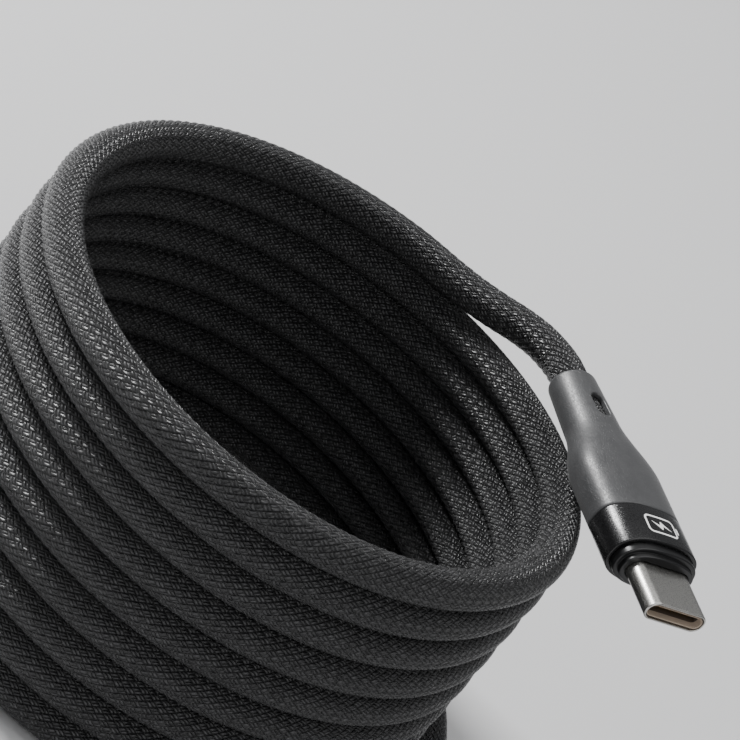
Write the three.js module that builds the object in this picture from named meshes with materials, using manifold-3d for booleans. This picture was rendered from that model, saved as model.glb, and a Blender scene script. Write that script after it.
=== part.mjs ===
// Braided charging cable, 2 m long, with a reversible 24-contact plug on each end, wound into a coil.
// Millimetres, +Z up. The coil stands on its lower turn; plug A leaves the top turn, plug B lies behind.
import * as THREE from 'three';
import { mergeVertices } from 'three/addons/utils/BufferGeometryUtils.js';
import Module from 'manifold-3d';

const wasm = await Module();
wasm.setup();

// ---------- driving sizes: cord and coil ----------
const CORD_DIAMETER = 4.4;
const CORD_SIDES = 8;
const TURN_GAP = 0.1; // air between one turn and the next
const TURN_RADIUS_TOP = 33.0; // cord centreline of the top turn
const COIL_FLARE = 0.6; // the stack widens by this much towards the floor
const COIL_TURNS = 8.61;
const COIL_START_ANGLE = 80; // degrees, where the top turn begins
const COIL_STEPS = 6; // flats that follow the helix around the top of the coil
const COIL_SEGMENTS = 60;
const COIL_EDGE_RADIUS = 1.2;
const FACE_GAP = 0.3; // left between pieces that meet

// ---------- driving sizes: plug ----------
// Local plug frame: +X out of the mouth, Y across, Z up, x = 0 on the collar's front face.
const SHELL_WIDTH = 8.34;
const SHELL_HEIGHT = 2.56;
const SHELL_WALL = 0.25;
const SHELL_EXPOSED = 6.3;
const SHELL_SUNK = 3.0;
const COLLAR_LENGTH = 1.8;
const COLLAR_LIP = 0.7;
const COLLAR_RIM = 0.5; // the collar is this much smaller than the band all round
const COLLAR_LIP_RIM = 0.5;
const BAND_WIDTH = 11.8;
const BAND_HEIGHT = 6.7;
const BAND_LENGTH = 5.6;
const BAND_WALL = 0.5;
const BOOT_LENGTH = 23.5;
const BOOT_GRIP_LENGTH = 6.8; // full-width stretch behind the band
const BOOT_TAPER_LENGTH = 9.0;
const NECK_SIDE_WALL = 1.4; // from the cord's side to the neck's
const NECK_TOP_WALL = 0.7;
const BOOT_END_SIDE_WALL = 0.9;
const BOOT_END_TOP_WALL = 0.45;
const BOOT_EDGE = 0.25;
const BORE_CLEARANCE = 0.1;
const WINDOW_LENGTH = 3.8;
const WINDOW_WIDTH = 1.9;
const WINDOW_TO_END = 6.0; // window centre to the boot's cord end
const OVAL_POWER = 2.5; // superellipse power of the band and boot sections
const OVAL_POINTS = 24;

// ---------- driving sizes: inside the plug ----------
const FIT = 0.05; // clearance between small metal and plastic pieces
const HOUSING_SETBACK = 0.3;
const HOUSING_SIDE_WALL = 0.37;
const HOUSING_ROOF = 0.34;
const CONTACT_COUNT = 12;
const CONTACT_PITCH = 0.5;
const CONTACT_WIDTH = 0.24;
const CONTACT_THICKNESS = 0.12;
const CONTACT_TIP_SETBACK = 1.2;
const WAFER_FRONT = 0.6;
const WAFER_HALF_GAP = 0.13; // half the gap between the upper and lower wafer
const LATCH_THICKNESS = 0.15;
const LATCH_HEIGHT = 0.5;
const LATCH_TIP_SETBACK = 1.6;
const LATCH_ROOT_LENGTH = 1.0;
const LATCH_ROOM = 0.31; // behind a latch arm, for its travel
const LATCH_HOOK = 0.09;
const SPRING_THICKNESS = 0.09;
const SPRING_INSET = 0.33; // from the end of the housing's flat
const SPRING_REAR = 1.0;
const SPRING_TIP_SETBACK = 0.9;
const SPRING_FINGERS = 4;
const BOARD_LENGTH = 10.0;
const BOARD_ROOM = 0.1; // from the board's edge to the can's wall
const BOARD_THICKNESS = 0.8;
const CHIP_SIZE = 2.6;
const CHIP_HEIGHT = 0.6;
const PASSIVE_LENGTH = 1.0;
const PASSIVE_WIDTH = 0.5;
const PASSIVE_HEIGHT = 0.45;
const CAN_WALL = 0.2;
const MOULD_WALL = 0.6;
const MOULD_ROOM_SIDE = 0.55; // from the inner mould to the band's bore
const MOULD_ROOM_TOP = 0.6;
const MOULD_POWER = 4; // superellipse power of the inner mould, squarer than the band
const MOULD_REAR_WALL = 2.4;
const CRIMP_LENGTH = 3.4;
const CRIMP_WALL = 0.45;
const WIRE_DIAMETER = 0.8;
const WIRE_HOLE_RADIUS = 1.95;

// ---------- sizes worked out from the driving sizes ----------
const CORD_RADIUS = CORD_DIAMETER / 2;
const TURN_PITCH = CORD_DIAMETER + TURN_GAP; // height from one turn to the next
const TURN_RADIUS_BOTTOM = TURN_RADIUS_TOP + COIL_FLARE;
const NECK_WIDTH = CORD_DIAMETER + 2 * NECK_SIDE_WALL;
const NECK_HEIGHT = CORD_DIAMETER + 2 * NECK_TOP_WALL;
const BOOT_END_WIDTH = CORD_DIAMETER + 2 * BOOT_END_SIDE_WALL;
const BOOT_END_HEIGHT = CORD_DIAMETER + 2 * BOOT_END_TOP_WALL;
const COLLAR_BACK = -COLLAR_LENGTH;
const BAND_FRONT = COLLAR_BACK;
const BAND_BACK = BAND_FRONT - BAND_LENGTH;
const BOOT_FRONT = BAND_BACK - FIT;
const BOOT_BACK = BOOT_FRONT - BOOT_LENGTH;
const MOUTH = SHELL_EXPOSED;
const SHELL_BACK = -SHELL_SUNK;
const HOUSING_FRONT = MOUTH - HOUSING_SETBACK;
const HOUSING_WIDTH = SHELL_WIDTH - 2 * SHELL_WALL - 2 * FIT;
const HOUSING_HEIGHT = SHELL_HEIGHT - 2 * (SHELL_WALL + SPRING_THICKNESS + 2 * FIT);
const CAVITY_HALF_WIDTH = HOUSING_WIDTH / 2 - HOUSING_SIDE_WALL;
const CAVITY_HALF_HEIGHT = HOUSING_HEIGHT / 2 - HOUSING_ROOF;
const LATCH_OFFSET = CAVITY_HALF_WIDTH - LATCH_ROOM - LATCH_THICKNESS; // a latch arm's inner face
const SPRING_HALF_WIDTH = (HOUSING_WIDTH - HOUSING_HEIGHT) / 2 - SPRING_INSET;
const CAVITY_BACK = SHELL_BACK + FIT;
const BOARD_FRONT = SHELL_BACK - FACE_GAP;
const BOARD_BACK = BOARD_FRONT - BOARD_LENGTH;
const CAN_BACK = BOARD_BACK - FACE_GAP;
const MOULD_WIDTH = BAND_WIDTH - 2 * (BAND_WALL + MOULD_ROOM_SIDE);
const MOULD_HEIGHT = BAND_HEIGHT - 2 * (BAND_WALL + MOULD_ROOM_TOP);
const CAN_WIDTH = MOULD_WIDTH - 2 * (FIT + MOULD_WALL);
const CAN_HEIGHT = MOULD_HEIGHT - 2 * (FIT + MOULD_WALL);
const BOARD_WIDTH = CAN_WIDTH - 2 * (CAN_WALL + BOARD_ROOM);
const MOULD_FRONT = SHELL_BACK;
const MOULD_POCKET_BACK = CAN_BACK - FACE_GAP;
const MOULD_BACK = MOULD_POCKET_BACK - MOULD_REAR_WALL;
const CAVITY_MARGIN = 0.15; // boot cavity around the inner mould
const BOOT_CAVITY_BACK = MOULD_BACK - FACE_GAP;
const CORD_END = BOOT_CAVITY_BACK - FACE_GAP;
const CRIMP_FRONT = CORD_END - FACE_GAP;
const CRIMP_BACK = CRIMP_FRONT - CRIMP_LENGTH;
const CRIMP_INNER = CORD_RADIUS + FIT;
const CRIMP_OUTER = CRIMP_INNER + CRIMP_WALL;
const WINDOW_CENTRE = BOOT_BACK + WINDOW_TO_END;
const TOP_CENTRE_Z = CORD_RADIUS + TURN_PITCH * COIL_TURNS; // cord centre where the top turn starts
const COIL_TOP = TOP_CENTRE_Z + CORD_RADIUS;

// ---------- cord routes outside the coil, chosen by hand ----------
// angle in degrees round the coil, out in mm outside the turn's radius, up in mm above the turn's centre
const LEAD_ROUTE = [
  { angle: 79.4, out: 0.0, up: 0.02 },
  { angle: 73.8, out: 0.3, up: 0.3 },
  { angle: 68.4, out: 1.0, up: 0.75 },
  { angle: 63.6, out: 2.0, up: 1.25 },
  { angle: 58.8, out: 2.7, up: 1.7 },
  { angle: 54.4, out: 2.9, up: 1.95 },
  { angle: 51.5, out: 2.8, up: 2.1 },
  { angle: 49.3, out: 2.6, up: 2.15 },
  { angle: 46.112, out: 2.263, up: 2.15 },
];
const TAIL_ROUTE = [
  { angle: -60, out: 0.0, up: 0.05 },
  { angle: -45, out: 0.9, up: 0.05 },
  { angle: -30, out: 2.7, up: 0.05 },
  { angle: -15, out: 4.5, up: 0.05 },
  { angle: 0, out: 5.4, up: 0.05 },
  { angle: 15, out: 5.7, up: 0.05 },
  { angle: 30, out: 5.7, up: 0.05 },
  { angle: 45, out: 5.7, up: 0.05 },
  { angle: 60, out: 5.8, up: 0.2 },
  { angle: 72, out: 6.0, up: 0.7 },
  { angle: 81, out: 6.4, up: 1.1 },
  { angle: 87.2, out: 6.85, up: 1.2 },
  { angle: 90.034, out: 6.802, up: 1.2 },
];
const LEAD_STEPS = 10;
const TAIL_STEPS = 26;
const PLUG_A_HEADING = -52; // degrees, the way plug A points
const PLUG_B_HEADING = 180;

// ---------- finishes ----------
const finish = (color, roughness, metalness) => ({ color, roughness, metalness });
const FINISHES = {
  braid: finish(0x1b1b1d, 0.75, 0.0),
  softTouch: finish(0x4a4b4f, 0.62, 0.0),
  anodised: finish(0x101012, 0.32, 0.9),
  blackPlastic: finish(0x151517, 0.45, 0.0),
  steel: finish(0xb9b6b0, 0.3, 1.0),
  spring: finish(0xc8c4bb, 0.25, 1.0),
  housing: finish(0x2a211a, 0.55, 0.0),
  gold: finish(0xd8b260, 0.25, 1.0),
  board: finish(0x14402a, 0.5, 0.0),
  chip: finish(0x17181a, 0.4, 0.0),
  passive: finish(0x9a8468, 0.5, 0.0),
  mould: finish(0x8f9296, 0.6, 0.0),
  redWire: finish(0xa31c1c, 0.5, 0.0),
  blackWire: finish(0x111111, 0.5, 0.0),
  whiteWire: finish(0xd9d9d4, 0.5, 0.0),
  greenWire: finish(0x1d7a3a, 0.5, 0.0),
  blueWire: finish(0x2446a0, 0.5, 0.0),
};

// ---------- geometry helpers ----------
const PLUG_AXES = new THREE.Matrix4().makeBasis(
  new THREE.Vector3(0, 1, 0),
  new THREE.Vector3(0, 0, 1),
  new THREE.Vector3(1, 0, 0),
);

/** Points of an arc about (cx, cy), without its last point. */
function arcPoints(cx, cy, radius, from, sweep, count) {
  const points = [];
  for (let i = 0; i < count; i += 1) {
    const angle = from + (sweep * i) / count;
    points.push(new THREE.Vector2(cx + radius * Math.cos(angle), cy + radius * Math.sin(angle)));
  }
  return points;
}

/** A rectangle with round corners, centred on the origin. */
function roundedOutline(width, height, radius, perCorner = 3) {
  const points = [];
  const x = width / 2 - radius;
  const y = height / 2 - radius;
  const corners = [[x, y], [-x, y], [-x, -y], [x, -y]];
  corners.forEach(([cx, cy], quarter) => {
    const from = (quarter * Math.PI) / 2;
    for (let i = 0; i <= perCorner; i += 1) {
      const angle = from + (Math.PI / 2) * (i / perCorner);
      points.push(new THREE.Vector2(cx + radius * Math.cos(angle), cy + radius * Math.sin(angle)));
    }
  });
  return points;
}

/** A slot with full round ends; a hair of straight is left so that no two corners fall together. */
function pillOutline(width, height) {
  const radius = height / 2 - FIT / 10;
  return roundedOutline(width, height, radius, 4);
}

/** A soft oval: a superellipse of the given width and height. */
function ovalOutline(width, height, power = OVAL_POWER) {
  const points = [];
  for (let i = 0; i < OVAL_POINTS; i += 1) {
    const angle = (2 * Math.PI * i) / OVAL_POINTS;
    const c = Math.cos(angle);
    const s = Math.sin(angle);
    const x = (width / 2) * Math.sign(c) * Math.abs(c) ** (2 / power);
    const y = (height / 2) * Math.sign(s) * Math.abs(s) ** (2 / power);
    points.push(new THREE.Vector2(x, y));
  }
  return points;
}

function circleOutline(radius, sides = 16) {
  return arcPoints(0, 0, radius, 0, 2 * Math.PI, sides);
}

function shapeOf(outline, holes = []) {
  const shape = new THREE.Shape(outline);
  holes.forEach((hole) => shape.holes.push(new THREE.Path(hole)));
  return shape;
}

/** A section in the plug's Y-Z plane, drawn out along X from back to front. */
function alongPlug(outline, back, front, holes = []) {
  const geometry = new THREE.ExtrudeGeometry(shapeOf(outline, holes), {
    depth: front - back,
    bevelEnabled: false,
  });
  geometry.applyMatrix4(PLUG_AXES);
  geometry.translate(back, 0, 0);
  return geometry;
}

/** A flat outline in the plug's X-Y plane, drawn up from one height to the other. */
function flatPiece(outline, low, high) {
  const geometry = new THREE.ExtrudeGeometry(shapeOf(outline), {
    depth: high - low,
    bevelEnabled: false,
  });
  geometry.translate(0, 0, low);
  return geometry;
}

function boxBetween(low, high) {
  const size = high.map((value, axis) => value - low[axis]);
  const geometry = new THREE.BoxGeometry(...size);
  geometry.translate(...high.map((value, axis) => (value + low[axis]) / 2));
  return geometry;
}

/** A closed skin through plug sections, given from front to back as {x, outline}. */
function loft(sections) {
  const count = sections[0].outline.length;
  const positions = [];
  const indices = [];
  sections.forEach(({ x, outline }) => outline.forEach((p) => positions.push(x, p.x, p.y)));
  for (let row = 0; row + 1 < sections.length; row += 1) {
    for (let i = 0; i < count; i += 1) {
      const next = (i + 1) % count;
      const a = row * count + i;
      const b = row * count + next;
      indices.push(a, a + count, b, b, a + count, b + count);
    }
  }
  const last = (sections.length - 1) * count;
  for (let i = 1; i + 1 < count; i += 1) {
    indices.push(0, i, i + 1);
    indices.push(last, last + i + 1, last + i);
  }
  const geometry = new THREE.BufferGeometry();
  geometry.setAttribute('position', new THREE.Float32BufferAttribute(positions, 3));
  geometry.setIndex(indices);
  return geometry;
}

function toSolid(geometry) {
  const bare = geometry.clone();
  bare.deleteAttribute('normal');
  bare.deleteAttribute('uv');
  const merged = mergeVertices(bare, 1e-4);
  return new wasm.Manifold(new wasm.Mesh({
    numProp: 3,
    vertProperties: new Float32Array(merged.attributes.position.array),
    triVerts: new Uint32Array(merged.index.array),
  }));
}

function toGeometry(solid) {
  const mesh = solid.getMesh();
  const geometry = new THREE.BufferGeometry();
  geometry.setAttribute('position', new THREE.BufferAttribute(new Float32Array(mesh.vertProperties), 3));
  geometry.setIndex(new THREE.BufferAttribute(new Uint32Array(mesh.triVerts), 1));
  return geometry;
}

/** The first geometry less all the others. */
function cut(geometry, ...tools) {
  return toGeometry(tools.reduce((solid, tool) => solid.subtract(toSolid(tool)), toSolid(geometry)));
}

/** A round tube along a smooth curve, stopping short of both its end points by the given gap. */
function tubeAlong(points, radius, steps, sides = CORD_SIDES, gap = 0) {
  const inward = (end, next) => next.clone().sub(end).setLength(gap).add(end);
  const path = [inward(points[0], points[1]), ...points.slice(1, -1), inward(points.at(-1), points.at(-2))];
  return new THREE.ExtrudeGeometry(shapeOf(circleOutline(radius, sides)), {
    steps,
    bevelEnabled: false,
    extrudePath: new THREE.CatmullRomCurve3(path),
  });
}

// ---------- assembly helpers ----------
function addPart(group, name, geometry, look) {
  if (!geometry.attributes.normal) geometry.computeVertexNormals();
  const mesh = new THREE.Mesh(geometry, new THREE.MeshStandardMaterial(look));
  mesh.name = name;
  group.add(mesh);
}

const degrees = THREE.MathUtils.degToRad;

/** A point of the cord's route, from its angle, offset and height on a turn. */
function routePoint({ angle, out, up }, radius, height) {
  const turn = degrees(angle);
  const reach = radius + out;
  return new THREE.Vector3(reach * Math.cos(turn), reach * Math.sin(turn), height + up);
}

// ---------- plug: outer pieces ----------
function plugShell() {
  const inner = pillOutline(SHELL_WIDTH - 2 * SHELL_WALL, SHELL_HEIGHT - 2 * SHELL_WALL);
  return alongPlug(pillOutline(SHELL_WIDTH, SHELL_HEIGHT), SHELL_BACK, MOUTH, [inner]);
}

function frontCollar() {
  const width = BAND_WIDTH - 2 * COLLAR_RIM;
  const height = BAND_HEIGHT - 2 * COLLAR_RIM;
  const wide = ovalOutline(width, height);
  const narrow = ovalOutline(width - 2 * COLLAR_LIP_RIM, height - 2 * COLLAR_LIP_RIM);
  const back = COLLAR_BACK + FIT;
  const body = loft([
    { x: 0, outline: narrow },
    { x: -COLLAR_LIP, outline: narrow },
    { x: -COLLAR_LIP - FIT, outline: wide },
    { x: back, outline: wide },
  ]);
  const hole = pillOutline(SHELL_WIDTH + 2 * FIT, SHELL_HEIGHT + 2 * FIT);
  return cut(body, alongPlug(hole, back - 1, 1));
}

function metalBand() {
  const inner = ovalOutline(BAND_WIDTH - 2 * BAND_WALL, BAND_HEIGHT - 2 * BAND_WALL);
  return alongPlug(ovalOutline(BAND_WIDTH, BAND_HEIGHT), BAND_BACK, BAND_FRONT, [inner]);
}

/** Outer boot section a distance behind the boot's front: full, then tapered to the neck. */
function bootSection(behind, inset = 0) {
  const step = THREE.MathUtils.smoothstep(behind, BOOT_GRIP_LENGTH, BOOT_GRIP_LENGTH + BOOT_TAPER_LENGTH);
  const neckStart = BOOT_GRIP_LENGTH + BOOT_TAPER_LENGTH;
  const along = Math.max(0, (behind - neckStart) / (BOOT_LENGTH - neckStart));
  const neckWidth = THREE.MathUtils.lerp(NECK_WIDTH, BOOT_END_WIDTH, along);
  const neckHeight = THREE.MathUtils.lerp(NECK_HEIGHT, BOOT_END_HEIGHT, along);
  const width = THREE.MathUtils.lerp(BAND_WIDTH, neckWidth, step) - 2 * inset;
  const height = THREE.MathUtils.lerp(BAND_HEIGHT, neckHeight, step) - 2 * inset;
  const power = THREE.MathUtils.lerp(OVAL_POWER, 2, step);
  return { x: BOOT_FRONT - behind, outline: ovalOutline(width, height, power) };
}

/** The boot's outer sections from front to back, drawn in all round by the given inset. */
function bootSections(inset = 0) {
  const neckStart = BOOT_GRIP_LENGTH + BOOT_TAPER_LENGTH;
  const taperCuts = [0, 0.25, 0.5, 0.75, 1];
  return [
    bootSection(0, inset),
    ...taperCuts.map((share) => bootSection(BOOT_GRIP_LENGTH + share * BOOT_TAPER_LENGTH, inset)),
    bootSection((neckStart + BOOT_LENGTH) / 2, inset),
    bootSection(BOOT_LENGTH - BOOT_EDGE, inset),
    bootSection(BOOT_LENGTH, BOOT_EDGE + inset),
  ];
}

function strainRelief() {
  const cavityWidth = MOULD_WIDTH + 2 * CAVITY_MARGIN;
  const cavity = ovalOutline(cavityWidth, MOULD_HEIGHT + 2 * CAVITY_MARGIN, MOULD_POWER);
  const crimpRoom = circleOutline(CRIMP_OUTER + BORE_CLEARANCE);
  const bore = circleOutline(CORD_RADIUS + BORE_CLEARANCE);
  const window = flatPiece(
    roundedOutline(WINDOW_LENGTH, WINDOW_WIDTH, WINDOW_WIDTH / 2 - FIT / 10, 4),
    -BAND_HEIGHT,
    BAND_HEIGHT,
  );
  window.translate(WINDOW_CENTRE, 0, 0);
  return cut(
    loft(bootSections()),
    alongPlug(cavity, BOOT_CAVITY_BACK, BOOT_FRONT + 1),
    alongPlug(crimpRoom, CRIMP_BACK - FACE_GAP, BOOT_CAVITY_BACK + 1),
    alongPlug(bore, BOOT_BACK - 1, BOOT_CAVITY_BACK + 1),
    window,
  );
}

// ---------- plug: inner pieces ----------
function contactHousing() {
  const cavity = roundedOutline(2 * CAVITY_HALF_WIDTH, 2 * CAVITY_HALF_HEIGHT, CAVITY_HALF_HEIGHT / 3, 1);
  return alongPlug(pillOutline(HOUSING_WIDTH, HOUSING_HEIGHT), CAVITY_BACK, HOUSING_FRONT, [cavity]);
}

/** One row of contacts in its moulded carrier; side is 1 for the upper row and -1 for the lower. */
function contactWafer(side) {
  const half = ((CONTACT_COUNT - 1) * CONTACT_PITCH + CONTACT_WIDTH) / 2;
  const tip = HOUSING_FRONT - CONTACT_TIP_SETBACK;
  const outline = [new THREE.Vector2(CAVITY_BACK + FIT, -half), new THREE.Vector2(WAFER_FRONT, -half)];
  for (let i = 0; i < CONTACT_COUNT; i += 1) {
    const low = -half + i * CONTACT_PITCH;
    const high = low + CONTACT_WIDTH;
    if (i > 0) outline.push(new THREE.Vector2(WAFER_FRONT, low));
    outline.push(new THREE.Vector2(tip, low), new THREE.Vector2(tip, high));
    outline.push(new THREE.Vector2(WAFER_FRONT, high));
  }
  outline.splice(1, 1);
  outline.push(new THREE.Vector2(CAVITY_BACK + FIT, half));
  const wall = CAVITY_HALF_HEIGHT - FIT;
  const comb = flatPiece(outline, wall - CONTACT_THICKNESS, wall);
  const carrier = boxBetween([CAVITY_BACK + FIT, -half, WAFER_HALF_GAP], [WAFER_FRONT, half, wall]);
  const solid = toSolid(comb).add(toSolid(carrier));
  return toGeometry(side > 0 ? solid : solid.mirror([0, 0, 1]));
}

/** A retention latch: a sprung arm with a hooked tip; side is 1 for the left arm and -1 for the right. */
function latchArm(side) {
  const root = CAVITY_BACK + FIT;
  const tip = HOUSING_FRONT - LATCH_TIP_SETBACK;
  const inner = LATCH_OFFSET;
  const outer = inner + LATCH_THICKNESS;
  const rootOuter = CAVITY_HALF_WIDTH - FIT;
  const outline = [
    [root, inner], [tip - 0.8, inner], [tip - 0.35, inner - LATCH_HOOK], [tip, inner],
    [tip, outer], [root + LATCH_ROOT_LENGTH, outer], [root + LATCH_ROOT_LENGTH, rootOuter], [root, rootOuter],
  ].map(([x, y]) => new THREE.Vector2(x, side * y));
  return flatPiece(outline, -LATCH_HEIGHT / 2, LATCH_HEIGHT / 2);
}

/** A grounding spring: a flat plate with fingers that press on the receptacle. */
function groundSpring(side) {
  const tip = MOUTH - SPRING_TIP_SETBACK;
  const slot = (tip - SPRING_REAR) / 2;
  const pitch = (2 * SPRING_HALF_WIDTH) / SPRING_FINGERS;
  const outline = [new THREE.Vector2(SPRING_REAR, -SPRING_HALF_WIDTH)];
  for (let i = 0; i < SPRING_FINGERS; i += 1) {
    const low = -SPRING_HALF_WIDTH + i * pitch;
    const high = low + pitch;
    const start = i > 0 ? low + FACE_GAP / 2 : low;
    const end = i < SPRING_FINGERS - 1 ? high - FACE_GAP / 2 : high;
    if (i > 0) outline.push(new THREE.Vector2(tip - slot, start));
    outline.push(new THREE.Vector2(tip, start), new THREE.Vector2(tip, end));
    if (i < SPRING_FINGERS - 1) outline.push(new THREE.Vector2(tip - slot, end));
  }
  outline.push(new THREE.Vector2(SPRING_REAR, SPRING_HALF_WIDTH));
  const low = HOUSING_HEIGHT / 2 + FIT;
  const high = low + SPRING_THICKNESS;
  return side > 0 ? flatPiece(outline, low, high) : flatPiece(outline, -high, -low);
}

function circuitBoard() {
  const half = BOARD_WIDTH / 2;
  return boxBetween([BOARD_BACK, -half, -BOARD_THICKNESS / 2], [BOARD_FRONT, half, BOARD_THICKNESS / 2]);
}

/** A component on the board, centred on (x, y); side is 1 on top and -1 underneath. */
function boardPiece(x, y, length, width, height, side) {
  const low = BOARD_THICKNESS / 2 + FIT;
  const span = side > 0 ? [low, low + height] : [-low - height, -low];
  return boxBetween([x - length / 2, y - width / 2, span[0]], [x + length / 2, y + width / 2, span[1]]);
}

/** Half of the steel can round the board: a roof with two walls. */
function shieldCan(side) {
  const half = CAN_WIDTH / 2;
  const roof = CAN_HEIGHT / 2;
  const outline = [
    [-half, FIT], [-half + CAN_WALL, FIT],
    [-half + CAN_WALL, roof - CAN_WALL], [half - CAN_WALL, roof - CAN_WALL],
    [half - CAN_WALL, FIT], [half, FIT], [half, roof], [-half, roof],
  ].map(([y, z]) => new THREE.Vector2(y, side * z));
  return alongPlug(outline, CAN_BACK, BOARD_FRONT);
}

function innerMould() {
  const body = alongPlug(ovalOutline(MOULD_WIDTH, MOULD_HEIGHT, MOULD_POWER), MOULD_BACK, MOULD_FRONT);
  const halfWidth = CAN_WIDTH / 2 + FIT;
  const halfHeight = CAN_HEIGHT / 2 + FIT;
  const pocket = boxBetween(
    [MOULD_POCKET_BACK, -halfWidth, -halfHeight],
    [MOULD_FRONT + 1, halfWidth, halfHeight],
  );
  return cut(body, pocket, alongPlug(circleOutline(WIRE_HOLE_RADIUS, 12), MOULD_BACK - 1, MOULD_FRONT));
}

function crimpRing() {
  return alongPlug(circleOutline(CRIMP_OUTER), CRIMP_BACK, CRIMP_FRONT, [circleOutline(CRIMP_INNER)]);
}

function cordEnd() {
  return alongPlug(circleOutline(CORD_RADIUS, 12), BOOT_BACK + FACE_GAP, CORD_END);
}

/** A wire from the cord's end to a pad, with its start offset and its pad's place. */
function wire(startY, startZ, padY, side) {
  const height = side * (BOARD_THICKNESS / 2 + WIRE_DIAMETER / 2 + FIT);
  const start = CORD_END + FIT;
  const points = [
    new THREE.Vector3(start, startY, startZ),
    new THREE.Vector3(MOULD_BACK + 0.4, startY, startZ),
    new THREE.Vector3(MOULD_POCKET_BACK + 0.1, startY, startZ),
    new THREE.Vector3(BOARD_BACK + 0.2, (startY + padY) / 2, height),
    new THREE.Vector3(BOARD_BACK + 1.6, padY, height),
  ];
  return tubeAlong(points, WIRE_DIAMETER / 2, 8, 6);
}

const WIRES = [
  { name: 'wire_vbus', start: [-1.2, 0.35], pad: -2.6, side: 1, look: FINISHES.redWire },
  { name: 'wire_data_plus', start: [0.0, 0.9], pad: 0.0, side: 1, look: FINISHES.greenWire },
  { name: 'wire_cc', start: [1.2, 0.35], pad: 2.6, side: 1, look: FINISHES.blueWire },
  { name: 'wire_ground', start: [-0.7, -0.85], pad: -1.8, side: -1, look: FINISHES.blackWire },
  { name: 'wire_data_minus', start: [0.7, -0.85], pad: 1.8, side: -1, look: FINISHES.whiteWire },
];

/** A whole plug in its own frame; end is the letter that its pieces' names finish with. */
function makePlug(end) {
  const plug = new THREE.Group();
  const boardMiddle = (BOARD_FRONT + BOARD_BACK) / 2;
  const add = (name, geometry, look) => addPart(plug, `${name}_${end}`, geometry, look);
  add('plug_shell', plugShell(), FINISHES.steel);
  add('front_collar', frontCollar(), FINISHES.blackPlastic);
  add('metal_band', metalBand(), FINISHES.anodised);
  add('strain_relief', strainRelief(), FINISHES.softTouch);
  add('contact_housing', contactHousing(), FINISHES.housing);
  add('upper_contacts', contactWafer(1), FINISHES.gold);
  add('lower_contacts', contactWafer(-1), FINISHES.gold);
  add('left_latch', latchArm(1), FINISHES.spring);
  add('right_latch', latchArm(-1), FINISHES.spring);
  add('upper_ground_spring', groundSpring(1), FINISHES.spring);
  add('lower_ground_spring', groundSpring(-1), FINISHES.spring);
  add('circuit_board', circuitBoard(), FINISHES.board);
  add('marker_chip', boardPiece(boardMiddle, 0, CHIP_SIZE, CHIP_SIZE, CHIP_HEIGHT, 1), FINISHES.chip);
  add(
    'bus_capacitor',
    boardPiece(boardMiddle, CHIP_SIZE, PASSIVE_LENGTH, PASSIVE_WIDTH, PASSIVE_HEIGHT, 1),
    FINISHES.passive,
  );
  add(
    'cc_resistor',
    boardPiece(boardMiddle, 0, PASSIVE_LENGTH, PASSIVE_WIDTH, PASSIVE_HEIGHT, -1),
    FINISHES.chip,
  );
  add('upper_shield_can', shieldCan(1), FINISHES.steel);
  add('lower_shield_can', shieldCan(-1), FINISHES.steel);
  add('inner_mould', innerMould(), FINISHES.mould);
  add('crimp_ring', crimpRing(), FINISHES.spring);
  add('cord_end', cordEnd(), FINISHES.braid);
  WIRES.forEach(({ name, start, pad, side, look }) => add(name, wire(...start, pad, side), look));
  return plug;
}

/** Turns a plug to its heading and puts the boot's cord end on the cord's last route point. */
function placePlug(plug, entry, heading) {
  const turn = degrees(heading);
  plug.rotation.z = turn;
  plug.position.set(
    entry.x - BOOT_BACK * Math.cos(turn),
    entry.y - BOOT_BACK * Math.sin(turn),
    entry.z,
  );
  plug.updateMatrix();
}

/** The room that a placed plug's band and boot need beside the coil. */
function plugRoom(plug) {
  const bandOutline = ovalOutline(BAND_WIDTH + 2 * FACE_GAP, BAND_HEIGHT + 2 * FACE_GAP);
  const room = loft([{ x: BAND_FRONT, outline: bandOutline }, ...bootSections(-FACE_GAP)]);
  return room.applyMatrix4(plug.matrix);
}

// ---------- coil ----------
/** A wedge of the coil's ring between two angles, from one height up past its top. */
function coilWedge(from, to, low) {
  const outer = TURN_RADIUS_BOTTOM + CORD_DIAMETER;
  const inner = TURN_RADIUS_TOP - CORD_DIAMETER;
  const count = 24;
  const sweep = degrees(to - from);
  const rim = arcPoints(0, 0, outer, degrees(from), sweep, count);
  rim.push(new THREE.Vector2(outer * Math.cos(degrees(to)), outer * Math.sin(degrees(to))));
  const bore = arcPoints(0, 0, inner, degrees(to), -sweep, count);
  bore.push(new THREE.Vector2(inner * Math.cos(degrees(from)), inner * Math.sin(degrees(from))));
  return flatPiece([...rim, ...bore], low, COIL_TOP + CORD_DIAMETER);
}

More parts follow.
